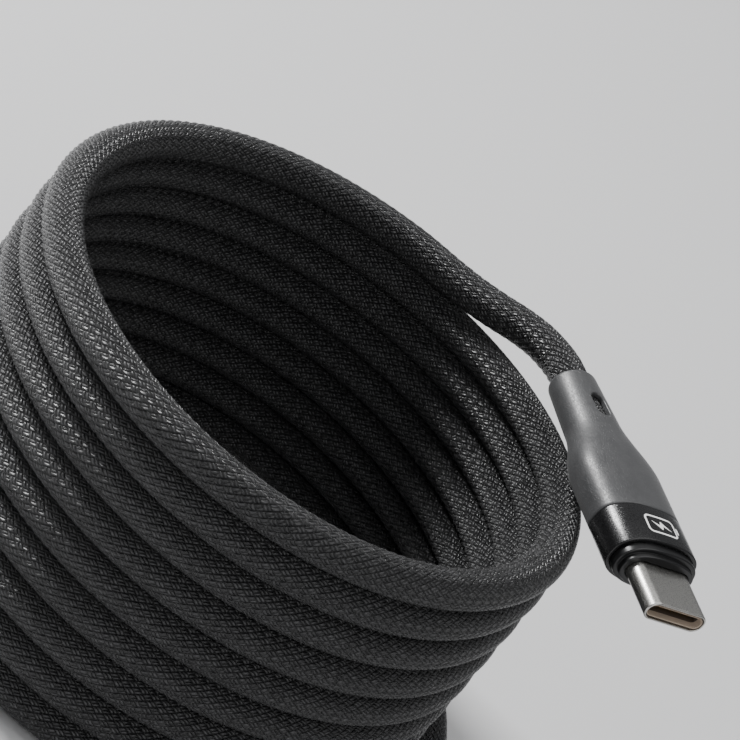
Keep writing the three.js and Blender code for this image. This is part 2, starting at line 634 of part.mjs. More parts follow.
/** The outer shape of the wound turns, stepped down along the helix and clear of both loose ends. */
function coilRing(leadRoute, tailRoute, plugs) {
  const radiusAt = (z) => THREE.MathUtils.mapLinear(z, 0, COIL_TOP, TURN_RADIUS_BOTTOM, TURN_RADIUS_TOP);
  const edge = COIL_EDGE_RADIUS;
  const low = radiusAt(0);
  const high = radiusAt(COIL_TOP);
  const profile = [
    [low - CORD_RADIUS + edge, 0], [low + CORD_RADIUS - edge, 0],
    [low + CORD_RADIUS, edge], [high + CORD_RADIUS, COIL_TOP - edge],
    [high + CORD_RADIUS - edge, COIL_TOP], [high - CORD_RADIUS + edge, COIL_TOP],
    [high - CORD_RADIUS, COIL_TOP - edge], [low - CORD_RADIUS, edge],
    [low - CORD_RADIUS + edge, 0],
  ].map(([r, z]) => new THREE.Vector2(r, z));
  const ring = new THREE.LatheGeometry(profile, COIL_SEGMENTS);
  ring.rotateX(Math.PI / 2);
  const wedges = [];
  const seam = COIL_START_ANGLE + 360;
  for (let i = 0; i < COIL_STEPS; i += 1) {
    const from = COIL_START_ANGLE + (360 * i) / COIL_STEPS;
    const low = COIL_TOP - (TURN_PITCH * (i + 1)) / COIL_STEPS;
    wedges.push(coilWedge(from, Math.min(from + 360 / COIL_STEPS + 1, seam), low));
  }
  const leadChannel = tubeAlong(leadRoute, CORD_RADIUS + FACE_GAP, LEAD_STEPS);
  const tailChannel = tubeAlong(tailRoute, CORD_RADIUS + FACE_GAP, TAIL_STEPS);
  return cut(ring, ...wedges, leadChannel, tailChannel, ...plugs.map(plugRoom));
}

// ---------- the whole cable ----------
const lead = LEAD_ROUTE.map((point) => routePoint(point, TURN_RADIUS_TOP, TOP_CENTRE_Z));
const tail = TAIL_ROUTE.map((point) => routePoint(point, TURN_RADIUS_BOTTOM, CORD_RADIUS));
const plugA = makePlug('a');
const plugB = makePlug('b');
placePlug(plugA, lead.at(-1), PLUG_A_HEADING);
placePlug(plugB, tail.at(-1), PLUG_B_HEADING);

const cable = new THREE.Group();
addPart(cable, 'cord_coil', coilRing(lead, tail, [plugA, plugB]), FINISHES.braid);
addPart(cable, 'cord_lead', tubeAlong(lead, CORD_RADIUS, LEAD_STEPS, CORD_SIDES, FACE_GAP), FINISHES.braid);
addPart(cable, 'cord_tail', tubeAlong(tail, CORD_RADIUS, TAIL_STEPS, CORD_SIDES, FACE_GAP), FINISHES.braid);
cable.add(plugA, plugB);

// The origin is under the middle of the cable's box, on the surface that it stands on.
cable.updateMatrixWorld(true);
const box = new THREE.Box3().setFromObject(cable, true);
const middle = box.getCenter(new THREE.Vector3());
cable.position.set(-middle.x, -middle.y, -box.min.z);

export default cable;
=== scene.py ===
import logging
import math
from collections.abc import Callable, Sequence
from dataclasses import asdict, dataclass, field, fields
from enum import Enum

import bmesh
import bpy
import numpy as np
from mathutils import Matrix, Vector


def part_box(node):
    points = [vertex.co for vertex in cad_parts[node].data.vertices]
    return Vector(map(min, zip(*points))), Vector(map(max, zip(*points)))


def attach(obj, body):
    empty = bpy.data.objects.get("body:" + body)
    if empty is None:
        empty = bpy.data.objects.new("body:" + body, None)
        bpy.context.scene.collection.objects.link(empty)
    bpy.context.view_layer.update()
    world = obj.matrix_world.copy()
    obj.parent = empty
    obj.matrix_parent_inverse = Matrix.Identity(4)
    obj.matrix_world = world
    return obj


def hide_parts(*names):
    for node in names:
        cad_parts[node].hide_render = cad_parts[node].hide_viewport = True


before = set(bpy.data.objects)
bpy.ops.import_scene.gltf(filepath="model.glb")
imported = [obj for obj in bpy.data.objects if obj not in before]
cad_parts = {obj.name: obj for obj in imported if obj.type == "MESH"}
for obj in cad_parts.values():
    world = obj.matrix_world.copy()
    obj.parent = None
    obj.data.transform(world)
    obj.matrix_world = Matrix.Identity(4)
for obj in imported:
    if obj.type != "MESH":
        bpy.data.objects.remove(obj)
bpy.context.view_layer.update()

LOG = logging.getLogger("charging_cable")
MM = 0.001  # plug pieces are drawn in millimetres and placed in metres
CABLE_BODY = "cable"
WELD = 0.0005  # millimetres within which two points are one

Outline = list[tuple[float, float]]
Ring = list[tuple[float, float, float]]
Colour = tuple[float, float, float]
Number = "Signal | float"


class End(Enum):
    """The two ends of the cable; a piece's name finishes with its end's letter."""

    A = "a"
    B = "b"


class Face(Enum):
    """The broad faces of a plug, as a sign on its local Z."""

    UPPER = 1
    LOWER = -1


class Edge(Enum):
    """How many degrees an edge turns before it stays sharp."""

    KEEN = 30.0
    PLAIN = 38.0
    BROKEN = 50.0
    ROUND = 60.0


# ---------- node trees ----------
def feed(tree: bpy.types.NodeTree, sockets: Sequence[bpy.types.NodeSocket], values: Sequence[Number]) -> None:
    """Links or sets a node's inputs.

    Args:
        tree: The node tree.
        sockets: The inputs.
        values: A signal or a plain number for each of them.
    """
    for socket, value in zip(sockets, values):
        if isinstance(value, Signal):
            tree.links.new(value.socket, socket)
        else:
            socket.default_value = value


def joined(tree: bpy.types.NodeTree, *parts: Number) -> bpy.types.NodeSocket:
    """Joins up to three numbers into a vector, whose other parts are 0."""
    node = tree.nodes.new("ShaderNodeCombineXYZ")
    feed(tree, node.inputs, parts)
    return node.outputs[0]


@dataclass(frozen=True)
class Signal:
    """A number that runs through a node tree, which plain arithmetic extends."""

    tree: bpy.types.NodeTree
    socket: bpy.types.NodeSocket  # the output that carries it

    def math(self, operation: str, *others: Number) -> "Signal":
        """Returns the result of a Math node that starts with this number."""
        node = self.tree.nodes.new("ShaderNodeMath")
        node.operation = operation
        feed(self.tree, node.inputs, (self, *others))
        return Signal(self.tree, node.outputs[0])

    def __add__(self, other: Number) -> "Signal":
        """Returns the sum."""
        return self.math("ADD", other)

    def __sub__(self, other: Number) -> "Signal":
        """Returns the difference."""
        return self.math("SUBTRACT", other)

    def __mul__(self, other: Number) -> "Signal":
        """Returns the product."""
        return self.math("MULTIPLY", other)

    def fraction(self) -> "Signal":
        """Returns the part after the whole number."""
        return self.math("FRACT")

    def whole(self) -> "Signal":
        """Returns the whole number below."""
        return self.math("FLOOR")

    def modulo(self, base: float) -> "Signal":
        """Returns the remainder, never below zero."""
        return self.math("FLOORED_MODULO", base)

    def hump(self, flatness: float) -> "Signal":
        """Returns a hump from 0 to 1 and back as this number goes from 0 to 1, flatter for a low power."""
        return ((self * (self * -1.0 + 1.0)) * 4.0).math("POWER", flatness)

    def mix(self, low: Number, high: Number) -> "Signal":
        """Returns a blend of two numbers: the low one where this is 0, and the high one where it is 1."""
        node = self.tree.nodes.new("ShaderNodeMix")
        feed(self.tree, [node.inputs[index] for index in (0, 2, 3)], (self, low, high))
        return Signal(self.tree, node.outputs[0])


class Sheet:
    """A material's node tree while it is being drawn up."""

    def __init__(self, name: str) -> None:
        """Starts a named material with a single surface shader."""
        self.material = bpy.data.materials.new(name)
        self.material.use_nodes = True
        self.tree = self.material.node_tree
        self.shader = self.tree.nodes["Principled BSDF"]

    def link(self, source: bpy.types.NodeSocket, target: bpy.types.NodeSocket) -> None:
        """Links an output to an input."""
        self.tree.links.new(source, target)

    def node(self, kind: str, **settings: object) -> bpy.types.Node:
        """Returns a new node with the properties given."""
        node = self.tree.nodes.new(kind)
        for name, value in settings.items():
            setattr(node, name, value)
        return node

    def texture(
        self, kind: str, place: bpy.types.NodeSocket | None = None, **values: float
    ) -> bpy.types.Node:
        """Adds a texture.

        Args:
            kind: The node's type.
            place: The coordinates that it reads, or None for the piece's own, in metres.
            values: Its inputs; an underscore stands for a space in an input's name.

        Returns:
            The texture's node.
        """
        texture = self.node(kind)
        for name, value in values.items():
            texture.inputs[name.replace("_", " ")].default_value = value
        place = place or self.node("ShaderNodeTexCoord").outputs["Object"]
        self.link(place, texture.inputs["Vector"])
        return texture

    def noise(self, feature: float, detail: float, place: bpy.types.NodeSocket | None = None) -> Signal:
        """Adds cloudy noise.

        Args:
            feature: The size of a cloud in metres.
            detail: How many finer layers it has.
            place: The coordinates that it reads, or None for the piece's own.

        Returns:
            The noise, from 0 to 1.
        """
        texture = self.texture("ShaderNodeTexNoise", place, Scale=1.0 / feature, Detail=detail)
        return Signal(self.tree, texture.outputs["Fac"])

    def speckle(self, feature: float) -> Signal:
        """Returns fine cells of a size in metres, each with a value of its own from 0 to 1."""
        texture = self.texture("ShaderNodeTexVoronoi", Scale=1.0 / feature)
        split = self.node("ShaderNodeSeparateColor")
        self.link(texture.outputs["Color"], split.inputs[0])
        return Signal(self.tree, split.outputs[0])

    def paint(self, tone: Signal, *stops: tuple[float, Colour]) -> None:
        """Colours the surface.

        Args:
            tone: The number that picks the colour.
            stops: Places from 0 to 1 and the colour at each.
        """
        ramp = self.node("ShaderNodeValToRGB")
        elements = ramp.color_ramp.elements
        while len(elements) < len(stops):
            elements.new(1.0)
        for element, (place, colour) in zip(elements, stops):
            element.position = place
            element.color = (*colour, 1.0)
        self.link(tone.socket, ramp.inputs[0])
        self.link(ramp.outputs[0], self.shader.inputs["Base Color"])

    def dull(self, roughness: Signal) -> None:
        """Links the surface's roughness."""
        self.link(roughness.socket, self.shader.inputs["Roughness"])

    def emboss(self, height: Signal, depth: float) -> None:
        """Raises the surface's shading by a height from 0 to 1, of a depth in metres."""
        bump = self.node("ShaderNodeBump")
        bump.inputs["Strength"].default_value = 1.0
        bump.inputs["Distance"].default_value = depth
        self.link(height.socket, bump.inputs["Height"])
        self.link(bump.outputs[0], self.shader.inputs["Normal"])

    def set(self, **values: float) -> None:
        """Sets plain shader sockets; an underscore stands for a space in a socket's name."""
        for name, value in values.items():
            self.shader.inputs[name.replace("_", " ")].default_value = value


# ---------- finishes ----------
def toned(colour: Colour, share: float) -> Colour:
    """Returns a colour made lighter or darker by a factor."""
    return tuple(min(1.0, channel * share) for channel in colour)


@dataclass(frozen=True)
class Finish:
    """A moulded or coated surface with mottled colour and a fine grain."""

    name: str
    colour: Colour
    roughness: float
    grain: float = 0.00012  # metres
    grain_depth: float = 0.000006  # metres
    mottling: float = 0.12
    metallic: float = 0.0
    patch: float = 0.004  # the size of a darker or paler place, in metres
    scatter: float = 0.12  # how far the roughness varies

    def material(self) -> bpy.types.Material:
        """Returns the finish's material, made the first time it is asked for."""
        made = bpy.data.materials.get(self.name)
        if made is None:
            sheet = Sheet(self.name)
            sheet.set(Metallic=self.metallic, Roughness=self.roughness)
            self.draw(sheet)
            made = sheet.material
        return made

    def rough(self, signal: Signal) -> Signal:
        """Returns the roughness, scattered evenly about its middle by a number from 0 to 1."""
        return signal * self.scatter + (self.roughness - self.scatter / 2)

    def draw(self, sheet: Sheet) -> None:
        """Draws the finish's nodes on a material's sheet."""
        low, high = toned(self.colour, 1.0 - self.mottling), toned(self.colour, 1.0 + self.mottling)
        sheet.paint(sheet.noise(self.patch, 3.0), (0.3, low), (0.7, high))
        grain = sheet.noise(self.grain, 2.0)
        sheet.dull(self.rough(grain))
        sheet.emboss(grain, self.grain_depth)


@dataclass(frozen=True)
class SoftTouch(Finish):
    """A soft-touch moulding: a silky skin with a fine even grain and paler handled places."""

    patch: float = 0.0035
    smear: float = 0.0009  # the size of a fingered place, in metres
    handled: Colour = (0.13, 0.13, 0.135)

    def draw(self, sheet: Sheet) -> None:
        """Draws the finish's nodes on a material's sheet."""
        cloud = sheet.noise(self.patch, 4.0)
        smear = sheet.noise(self.smear, 3.0)
        sheet.paint(cloud * 0.7 + smear * 0.3, (0.3, self.colour), (0.75, self.handled))
        pore = sheet.speckle(self.grain)
        sheet.dull(smear * 0.16 + pore * 0.14 + (self.roughness - 0.15))
        sheet.emboss(sheet.noise(self.grain, 1.0) * 0.5 + pore * 0.5, self.grain_depth)
        sheet.set(Sheen_Weight=0.08, Sheen_Roughness=0.4)


@dataclass(frozen=True)
class Blasted(Finish):
    """Bead-blasted metal: every tiny crater catches the light on its own."""

    patch: float = 0.0025
    scatter: float = 0.22

    def draw(self, sheet: Sheet) -> None:
        """Draws the finish's nodes on a material's sheet."""
        crater = sheet.speckle(self.grain)
        low, high = toned(self.colour, 1.0 - self.mottling), toned(self.colour, 1.0 + self.mottling)
        sheet.paint(crater * 0.6 + sheet.noise(self.patch, 3.0) * 0.4, (0.2, low), (0.8, high))
        sheet.dull(self.rough(crater))
        sheet.emboss(crater * 0.5 + sheet.noise(self.grain * 1.7, 2.0) * 0.5, self.grain_depth)


@dataclass(frozen=True)
class Drawn(Finish):
    """Rolled or drawn sheet metal with fine lines along it."""

    line_length: float = 0.004
    scatter: float = 0.18

    def draw(self, sheet: Sheet) -> None:
        """Draws the finish's nodes on a material's sheet."""
        place = sheet.texture("ShaderNodeMapping", Scale=(self.line_length, self.grain, self.grain))
        place.vector_type = "TEXTURE"
        line = sheet.noise(1.0, 3.0, place.outputs["Vector"])
        sheet.paint(line, (0.3, toned(self.colour, 1.0 - self.mottling)), (0.7, self.colour))
        sheet.dull(self.rough(line))
        sheet.emboss(line, self.grain_depth)


@dataclass(frozen=True)
class Masked(Finish):
    """A circuit board's solder mask over copper tracks."""

    patch: float = 0.0015
    track_pitch: float = 0.0005
    copper_tone: float = 2.2

    def draw(self, sheet: Sheet) -> None:
        """Draws the finish's nodes on a material's sheet."""
        bricks = sheet.texture("ShaderNodeTexBrick", Scale=0.5 / self.track_pitch, Mortar_Size=0.03)
        track = Signal(sheet.tree, bricks.outputs["Fac"])
        tone = track * 0.6 + sheet.noise(self.patch, 2.0) * 0.4
        sheet.paint(tone, (0.1, self.colour), (0.8, toned(self.colour, self.copper_tone)))
        sheet.dull(track * 0.1 + self.roughness)
        sheet.emboss(track, self.grain_depth)


@dataclass(frozen=True)
class Insulated(Finish):
    """Glossy wire insulation with faint drawing lines."""

    patch: float = 0.0006
    scatter: float = 0.1
    mottling: float = 0.2

    def draw(self, sheet: Sheet) -> None:
        """Draws the finish's nodes on a material's sheet."""
        streak = sheet.noise(self.patch, 3.0)
        sheet.paint(streak, (0.35, toned(self.colour, 1.0 - self.mottling)), (0.7, self.colour))
        sheet.dull(self.rough(streak))
        sheet.emboss(streak, self.grain_depth)


@dataclass(frozen=True)
class Braided(Finish):
    """Black nylon yarn braided over the cord: paired ends that pass over and under each other.

    The map that it reads counts yarn crossings: U round the cord and V along it.
    """

    map_name: str = "Braid"
    carriers: int = 16  # yarn pairs that run each way round
    # a painted highlight on the crests of the crossings, paler than the yarn's own black
    painted_crest_highlight: Colour = (0.075, 0.075, 0.078)
    ends: float = 2.0  # yarns in a pair
    fibres: float = 26.0  # across a pair

    def draw(self, sheet: Sheet) -> None:
        """Draws the finish's nodes on a material's sheet."""
        split = sheet.node("ShaderNodeSeparateXYZ")
        sheet.link(sheet.node("ShaderNodeUVMap", uv_map=self.map_name).outputs[0], split.inputs[0])
        around, along = (Signal(sheet.tree, split.outputs[axis]) for axis in (0, 1))
        right_hand, left_hand = around + along, around - along
        over = (right_hand.whole() + left_hand.whole()).modulo(2.0)
        length = over.mix(right_hand.fraction(), left_hand.fraction())
        width = over.mix(left_hand.fraction(), right_hand.fraction())
        yarn = width * self.ends
        relief = yarn.fraction().hump(0.6) * length.hump(0.45)

        pair = right_hand.whole().modulo(float(self.carriers))
        crossing = right_hand.whole() - left_hand.whole()
        white = sheet.node("ShaderNodeTexWhiteNoise", noise_dimensions="3D")
        sheet.link(joined(sheet.tree, pair, crossing, yarn.whole()), white.inputs["Vector"])
        luck = Signal(sheet.tree, white.outputs["Value"])
        strand = joined(sheet.tree, width * self.fibres + luck * 9.0, length * 2.5, luck * 40.0)
        fibre = sheet.noise(1.0, 2.0, strand)

        # Painted shade darkens the gaps between crossings to a quarter of the yarn's colour, and a painted
        # highlight tops the crests; the tone also varies at random by yarn and fibre.
        tone = relief * (luck * 0.5 + 0.5) * (fibre * 0.9 + 0.35)
        sheet.paint(tone, (0.0, toned(self.colour, 0.25)), (0.45, self.colour), (1.0, self.painted_crest_highlight))
        sheet.dull(fibre * 0.3 + luck * 0.16 + (self.roughness - 0.2))
        sheet.emboss(relief + fibre * 0.16, self.grain_depth)
        sheet.set(Sheen_Weight=0.06, Sheen_Roughness=0.4)


BRAID = Braided("black_nylon_braid", (0.01, 0.01, 0.011), 0.3, grain_depth=0.00026)
BOOT = SoftTouch(
    "slate_soft_touch", (0.034, 0.0345, 0.036), 0.44, grain=0.00016, grain_depth=0.00002,
    handled=(0.052, 0.0525, 0.054),
)
BAND = Blasted("black_anodised_band", (0.007, 0.007, 0.0075), 0.26, grain=0.00007)
COLLAR = Finish("black_collar_gloss", (0.005, 0.005, 0.0055), 0.3, grain_depth=0.000003)
SHELL = Blasted(
    "blasted_nickel_shell", (0.5, 0.492, 0.47), 0.3, grain=0.00005, grain_depth=0.000002,
    mottling=0.06, metallic=1.0, scatter=0.12,
)
# One housing plastic in two painted copies: the liner's pale tan is painted as if lit, and the core's dark
# brown is painted shade.
HOUSING_PAINTED_LIT = Finish("housing_plastic_painted_lit", (0.42, 0.34, 0.27), 0.4)
HOUSING_PAINTED_SHADE = Finish("housing_plastic_painted_shade", (0.05, 0.036, 0.026), 0.45)
GOLD = Drawn("gold_plated_contacts", (0.86, 0.6, 0.22), 0.24, metallic=1.0, grain=0.00004)
SPRING = Drawn("nickel_spring_steel", (0.62, 0.6, 0.57), 0.28, metallic=1.0, grain=0.00003)
TINPLATE = Drawn("tinned_steel_sheet", (0.5, 0.5, 0.49), 0.4, metallic=1.0, grain=0.00005)
BOARD = Masked("green_solder_mask", (0.012, 0.075, 0.035), 0.35, grain_depth=0.00001)
CHIP = Finish("moulded_chip_package", (0.02, 0.02, 0.021), 0.55)
CAPACITOR = Finish("tan_ceramic", (0.38, 0.27, 0.16), 0.5)
MOULD = Finish("hard_grey_moulding", (0.27, 0.28, 0.29), 0.5)
INK = Finish("white_printing_ink", (0.8, 0.8, 0.79), 0.45, grain=0.00005, grain_depth=0.000002, mottling=0.03)
INSIDE_LOOKS = {
    "left_latch": SPRING, "right_latch": SPRING, "circuit_board": BOARD, "marker_chip": CHIP,
    "bus_capacitor": CAPACITOR, "cc_resistor": CHIP, "upper_shield_can": TINPLATE,
    "lower_shield_can": TINPLATE, "inner_mould": MOULD, "crimp_ring": TINPLATE,
    "wire_vbus": Insulated("red_insulation", (0.45, 0.02, 0.02), 0.3),
    "wire_data_plus": Insulated("green_insulation", (0.02, 0.24, 0.06), 0.3),
    "wire_cc": Insulated("blue_insulation", (0.03, 0.08, 0.4), 0.3),
    "wire_ground": Insulated("black_insulation", (0.015, 0.015, 0.016), 0.3),
    "wire_data_minus": Insulated("white_insulation", (0.7, 0.7, 0.68), 0.3),
}


# ---------- outlines ----------
def oval(width: float, height: float, power: float, count: int) -> Outline:
    """Draws a superellipse.

    Args:
        width: Its full width.
        height: Its full height.
        power: 2 for an ellipse, more for a squarer form.
        count: The number of points.

    Returns:
        The points, anticlockwise from the right.
    """
    points = []
    for index in range(count):
        angle = 2.0 * math.pi * index / count
        c, s = math.cos(angle), math.sin(angle)
        x = width / 2.0 * math.copysign(abs(c) ** (2.0 / power), c)
        y = height / 2.0 * math.copysign(abs(s) ** (2.0 / power), s)
        points.append((x, y))
    return points


def rounded_box(width: float, height: float, radius: float, count: int) -> Outline:
    """Draws a rectangle with round corners, its points spread evenly along its edge.

    Args:
        width: Its full width.
        height: Its full height.
        radius: The corner radius.
        count: The number of points.

    Returns:
        The points, anticlockwise from the middle of the right side.
    """
    x, y = width / 2.0 - radius, height / 2.0 - radius
    arc = math.pi / 2.0 * radius
    quarters = [(2 * y, (x, y)), (2 * x, (-x, y)), (2 * y, (-x, -y)), (2 * x, (x, -y))]
    total = 4 * (x + y + arc)
    points = []
    for index in range(count):
        left, quarter = y + total * index / count, 0
        while left > quarters[quarter % 4][0] + arc:
            left -= quarters[quarter % 4][0] + arc
            quarter += 1
        side, (centre_x, centre_y) = quarters[quarter % 4]
        short = max(0.0, side - left)  # how far the point lies before the corner's arc
        start = math.pi / 2.0 * quarter
        angle = start + max(0.0, left - side) / radius
        points.append((
            centre_x + radius * math.cos(angle) + short * math.sin(start),
            centre_y + radius * math.sin(angle) - short * math.cos(start),
        ))
    return points


def round_corners(corners: Sequence[tuple[float, float, float]], steps: int = 5) -> Outline:
    """Rounds the corners of a closed profile.

    Args:
        corners: Each corner and the radius that it gets, 0 for a sharp one.
        steps: The points on each arc, less one.

    Returns:
        The profile's points.
    """
    points = []
    for index, (x, y, radius) in enumerate(corners):
        if radius == 0.0:
            points.append((x, y))
            continue
        corner = Vector((x, y))
        before = (Vector(corners[index - 1][:2]) - corner).normalized()
        after = (Vector(corners[(index + 1) % len(corners)][:2]) - corner).normalized()
        half = before.angle(after) / 2.0
        reach = radius / math.tan(half)
        centre = corner + (before + after).normalized() * (radius / math.sin(half))
        start = corner + before * reach - centre
        turn = start.angle_signed(corner + after * reach - centre)
        for step in range(steps + 1):
            spoke = start.copy()
            spoke.rotate(Matrix.Rotation(-turn * step / steps, 2))
            points.append(tuple(centre + spoke))
    return points


def section(x: float, outline: Outline) -> Ring:
    """Returns the ring of an outline that stands across a plug's axis at a place along it."""
    return [(x, y, z) for y, z in outline]


def raised(outline: Outline, centre: float, height: Callable[[float, float], float]) -> Ring:
    """Lays an outline on a surface that lies along a plug.

    Args:
        outline: The outline, along and across the plug.
        centre: Where its middle is along the plug.
        height: Gives the surface's height at a place along and across the plug.

    Returns:
        The ring's points.
    """
    return [(centre + x, y, height(centre + x, y)) for x, y in outline]


# ---------- meshes ----------
@dataclass
class Skin:
    """A mesh while it is being built, in a plug's own millimetres."""

    vertices: list[tuple[float, float, float]] = field(default_factory=list)
    faces: list[tuple[int, ...]] = field(default_factory=list)

    def ring(self, points: Ring) -> list[int]:
        """Adds points and returns their numbers."""
        first = len(self.vertices)
        self.vertices.extend(points)
        return list(range(first, len(self.vertices)))

    def bridge(self, one: Sequence[int], two: Sequence[int]) -> None:
        """Joins two closed rings of the same length with a band of faces."""
        for i, j in zip(range(len(one)), [*range(1, len(one)), 0]):
            self.faces.append((one[i], two[i], two[j], one[j]))

    def loft(self, rings: Sequence[Ring], closed: bool = False) -> "Skin":
        """Adds a skin through rings.

        Args:
            rings: The rings in order, all with the same number of points.
            closed: Whether the last joins the first; if not, both ends are capped.

        Returns:
            This skin.
        """
        numbers = [self.ring(ring) for ring in rings]
        for one, two in zip(numbers, numbers[1:]):
            self.bridge(one, two)
        if closed:
            self.bridge(numbers[-1], numbers[0])
        else:
            self.faces += [tuple(numbers[0]), tuple(reversed(numbers[-1]))]
        return self

    def mesh(self) -> bpy.types.Mesh:
        """Returns the mesh, in the skin's own units, with its faces pointing out."""
        mesh = bpy.data.meshes.new("skin")
        mesh.from_pydata(self.vertices, [], self.faces)
        return cleaned(mesh)


def cleaned(mesh: bpy.types.Mesh) -> bpy.types.Mesh:
    """Returns a mesh in millimetres with doubled points merged, slivers gone and faces outwards."""
    work = bmesh.new()
    work.from_mesh(mesh)
    bmesh.ops.remove_doubles(work, verts=work.verts, dist=WELD)
    bmesh.ops.dissolve_degenerate(work, edges=work.edges, dist=WELD)
    bmesh.ops.recalc_face_normals(work, faces=work.faces)
    work.to_mesh(mesh)
    work.free()
    return mesh


def add_object(name: str, mesh: bpy.types.Mesh) -> bpy.types.Object:
    """Links a mesh into the scene, and returns its object at the origin."""
    piece = bpy.data.objects.new(name, mesh)
    bpy.context.scene.collection.objects.link(piece)
    return piece


def taken(holder: bpy.types.Object) -> bpy.types.Mesh:
    """Returns the plain mesh that an object's modifiers make."""
    graph = bpy.context.evaluated_depsgraph_get()
    return bpy.data.meshes.new_from_object(holder.evaluated_get(graph))


def carved(body: bpy.types.Mesh, tools: Sequence[bpy.types.Mesh]) -> bpy.types.Mesh:
    """Cuts tools out of a body.

    Args:
        body: The mesh to cut.
        tools: The meshes to take away, one after another.

    Returns:
        The cut mesh.
    """
    block = add_object("block", body)
    cutters = [add_object("cutter", tool) for tool in tools]
    for cutter in cutters:
        modifier = block.modifiers.new("cut", "BOOLEAN")
        modifier.operation = "DIFFERENCE"
        modifier.solver = "EXACT"
        modifier.object = cutter
    result = taken(block)
    for leftover in [block, *cutters]:
        bpy.data.objects.remove(leftover)
    return cleaned(result)


@dataclass(frozen=True)
class BladeRow:
    """A row of equal sprung blades, side by side across the plug, made by a node tree."""

    count: int
    pitch: float
    width: float
    thickness: float
    root: float
    tip: float
    height: float
    bow: float

    @classmethod
    def tree(cls, look: Finish) -> bpy.types.NodeTree:
        """Returns the node tree for a finish, with a named input for every size."""
        name = f"blade_row_{look.name}"
        made = bpy.data.node_groups.get(name)
        if made is not None:
            return made
        tree = bpy.data.node_groups.new(name, "GeometryNodeTree")
        sizes = [size.name.capitalize() for size in fields(cls)]
        for size in sizes:
            kind = "NodeSocketInt" if size == "Count" else "NodeSocketFloat"
            tree.interface.new_socket(size, in_out="INPUT", socket_type=kind)
        tree.interface.new_socket("Blades", in_out="OUTPUT", socket_type="NodeSocketGeometry")
        given = tree.nodes.new("NodeGroupInput").outputs
        count, pitch, width, thickness, root, tip, height, bow = (Signal(tree, given[size]) for size in sizes)

        def add(kind: str, **inputs: Signal | bpy.types.NodeSocket) -> bpy.types.Node:
            """Returns a new node with its inputs linked; an underscore stands for a space in a name."""
            node = tree.nodes.new(f"GeometryNode{kind}")
            for label, source in inputs.items():
                socket = source.socket if isinstance(source, Signal) else source
                tree.links.new(socket, node.inputs[label.replace("_", " ")])
            return node

        middle = joined(tree, root * 0.35 + tip * 0.65, 0.0, bow * 2.0)
        spine = add("CurveQuadraticBezier", Start=joined(tree, root), Middle=middle, End=joined(tree, tip))
        spine.inputs["Resolution"].default_value = 10
        outline = add("CurvePrimitiveQuadrilateral", Height=thickness, Width=width)
        blade = add("CurveToMesh", Curve=spine.outputs[0], Profile_Curve=outline.outputs[0])
        blade.inputs["Fill Caps"].default_value = True
        start = joined(tree, 0.0, (count - 1.0) * pitch * -0.5, height)
        row = add("MeshLine", Count=count, Start_Location=start, Offset=joined(tree, 0.0, pitch))
        placed = add("InstanceOnPoints", Points=row.outputs[0], Instance=blade.outputs[0])
        real = add("RealizeInstances", Geometry=placed.outputs[0])
        dress = add("SetMaterial", Geometry=real.outputs[0])
        dress.inputs["Material"].default_value = look.material()
        tree.links.new(dress.outputs[0], tree.nodes.new("NodeGroupOutput").inputs[0])
        return tree

    def mesh(self, look: Finish) -> bpy.types.Mesh:
        """Returns the row in a finish as a plain mesh, in the plug's own millimetres."""
        holder = add_object("row_holder", bpy.data.meshes.new("row_holder"))
        modifier = holder.modifiers.new("blades", "NODES")
        modifier.node_group = self.tree(look)
        sizes = asdict(self)
        for item in modifier.node_group.interface.items_tree:
            if item.item_type == "SOCKET" and item.in_out == "INPUT":
                modifier[item.identifier] = sizes[item.name.lower()]
        mesh = taken(holder)
        bpy.data.objects.remove(holder)
        return mesh


# ---------- the cord ----------
@dataclass(frozen=True)
class RoutePoint:
    """A point of the cord beside the coil: its angle, and how far out and up from its turn."""

    angle: float  # degrees
    out: float  # metres outside the turn's radius
    up: float  # metres above the turn's centre


LEAD_ROUTE = [RoutePoint(*point) for point in (
    (79.4, 0.0, 0.00002), (73.8, 0.0003, 0.0003), (68.4, 0.001, 0.00075), (63.6, 0.002, 0.00125),
    (58.8, 0.0027, 0.0017), (54.4, 0.0029, 0.00195), (51.5, 0.0028, 0.0021), (49.3, 0.0026, 0.00215),
    (46.112, 0.002263, 0.00215),
)]
TAIL_ROUTE = [RoutePoint(*point) for point in (
    (-60.0, 0.0, 0.00005), (-45.0, 0.0009, 0.00005), (-30.0, 0.0027, 0.00005), (-15.0, 0.0045, 0.00005),
    (0.0, 0.0054, 0.00005), (15.0, 0.0057, 0.00005), (30.0, 0.0057, 0.00005), (45.0, 0.0057, 0.00005),
    (60.0, 0.0058, 0.0002), (72.0, 0.006, 0.0007), (81.0, 0.0064, 0.0011), (87.2, 0.00685, 0.0012),
    (90.034, 0.006802, 0.0012),
)]


def smooth_line(points: Sequence[Vector], per_span: int) -> np.ndarray:
    """Runs one smooth curve through points.

    Args:
        points: The points.
        per_span: How many steps it takes from one point to the next.

    Returns:
        The curve's points, one row each.
    """
    fixed = np.array([list(point) for point in points], float)
    fixed = np.vstack([2 * fixed[0] - fixed[1], fixed, 2 * fixed[-1] - fixed[-2]])
    knots = np.concatenate([[0.0], np.cumsum(np.linalg.norm(np.diff(fixed, axis=0), axis=1) ** 0.5)])

    def between(t: np.ndarray, first: int, last: int, one: np.ndarray, two: np.ndarray) -> np.ndarray:
        """Returns the way from one place to another, by where t is between two knots."""
        return ((knots[last] - t) * one + (t - knots[first]) * two) / (knots[last] - knots[first])

    spans = []
    for i in range(1, len(fixed) - 2):
        t = np.linspace(knots[i], knots[i + 1], per_span, endpoint=False)[:, None]
        legs = [between(t, k, k + 1, fixed[k], fixed[k + 1]) for k in (i - 1, i, i + 1)]
        arcs = [between(t, k, k + 2, one, two) for k, one, two in zip((i - 1, i), legs, legs[1:])]
        spans.append(between(t, i, i + 1, *arcs))
    return np.vstack([*spans, fixed[-2]])


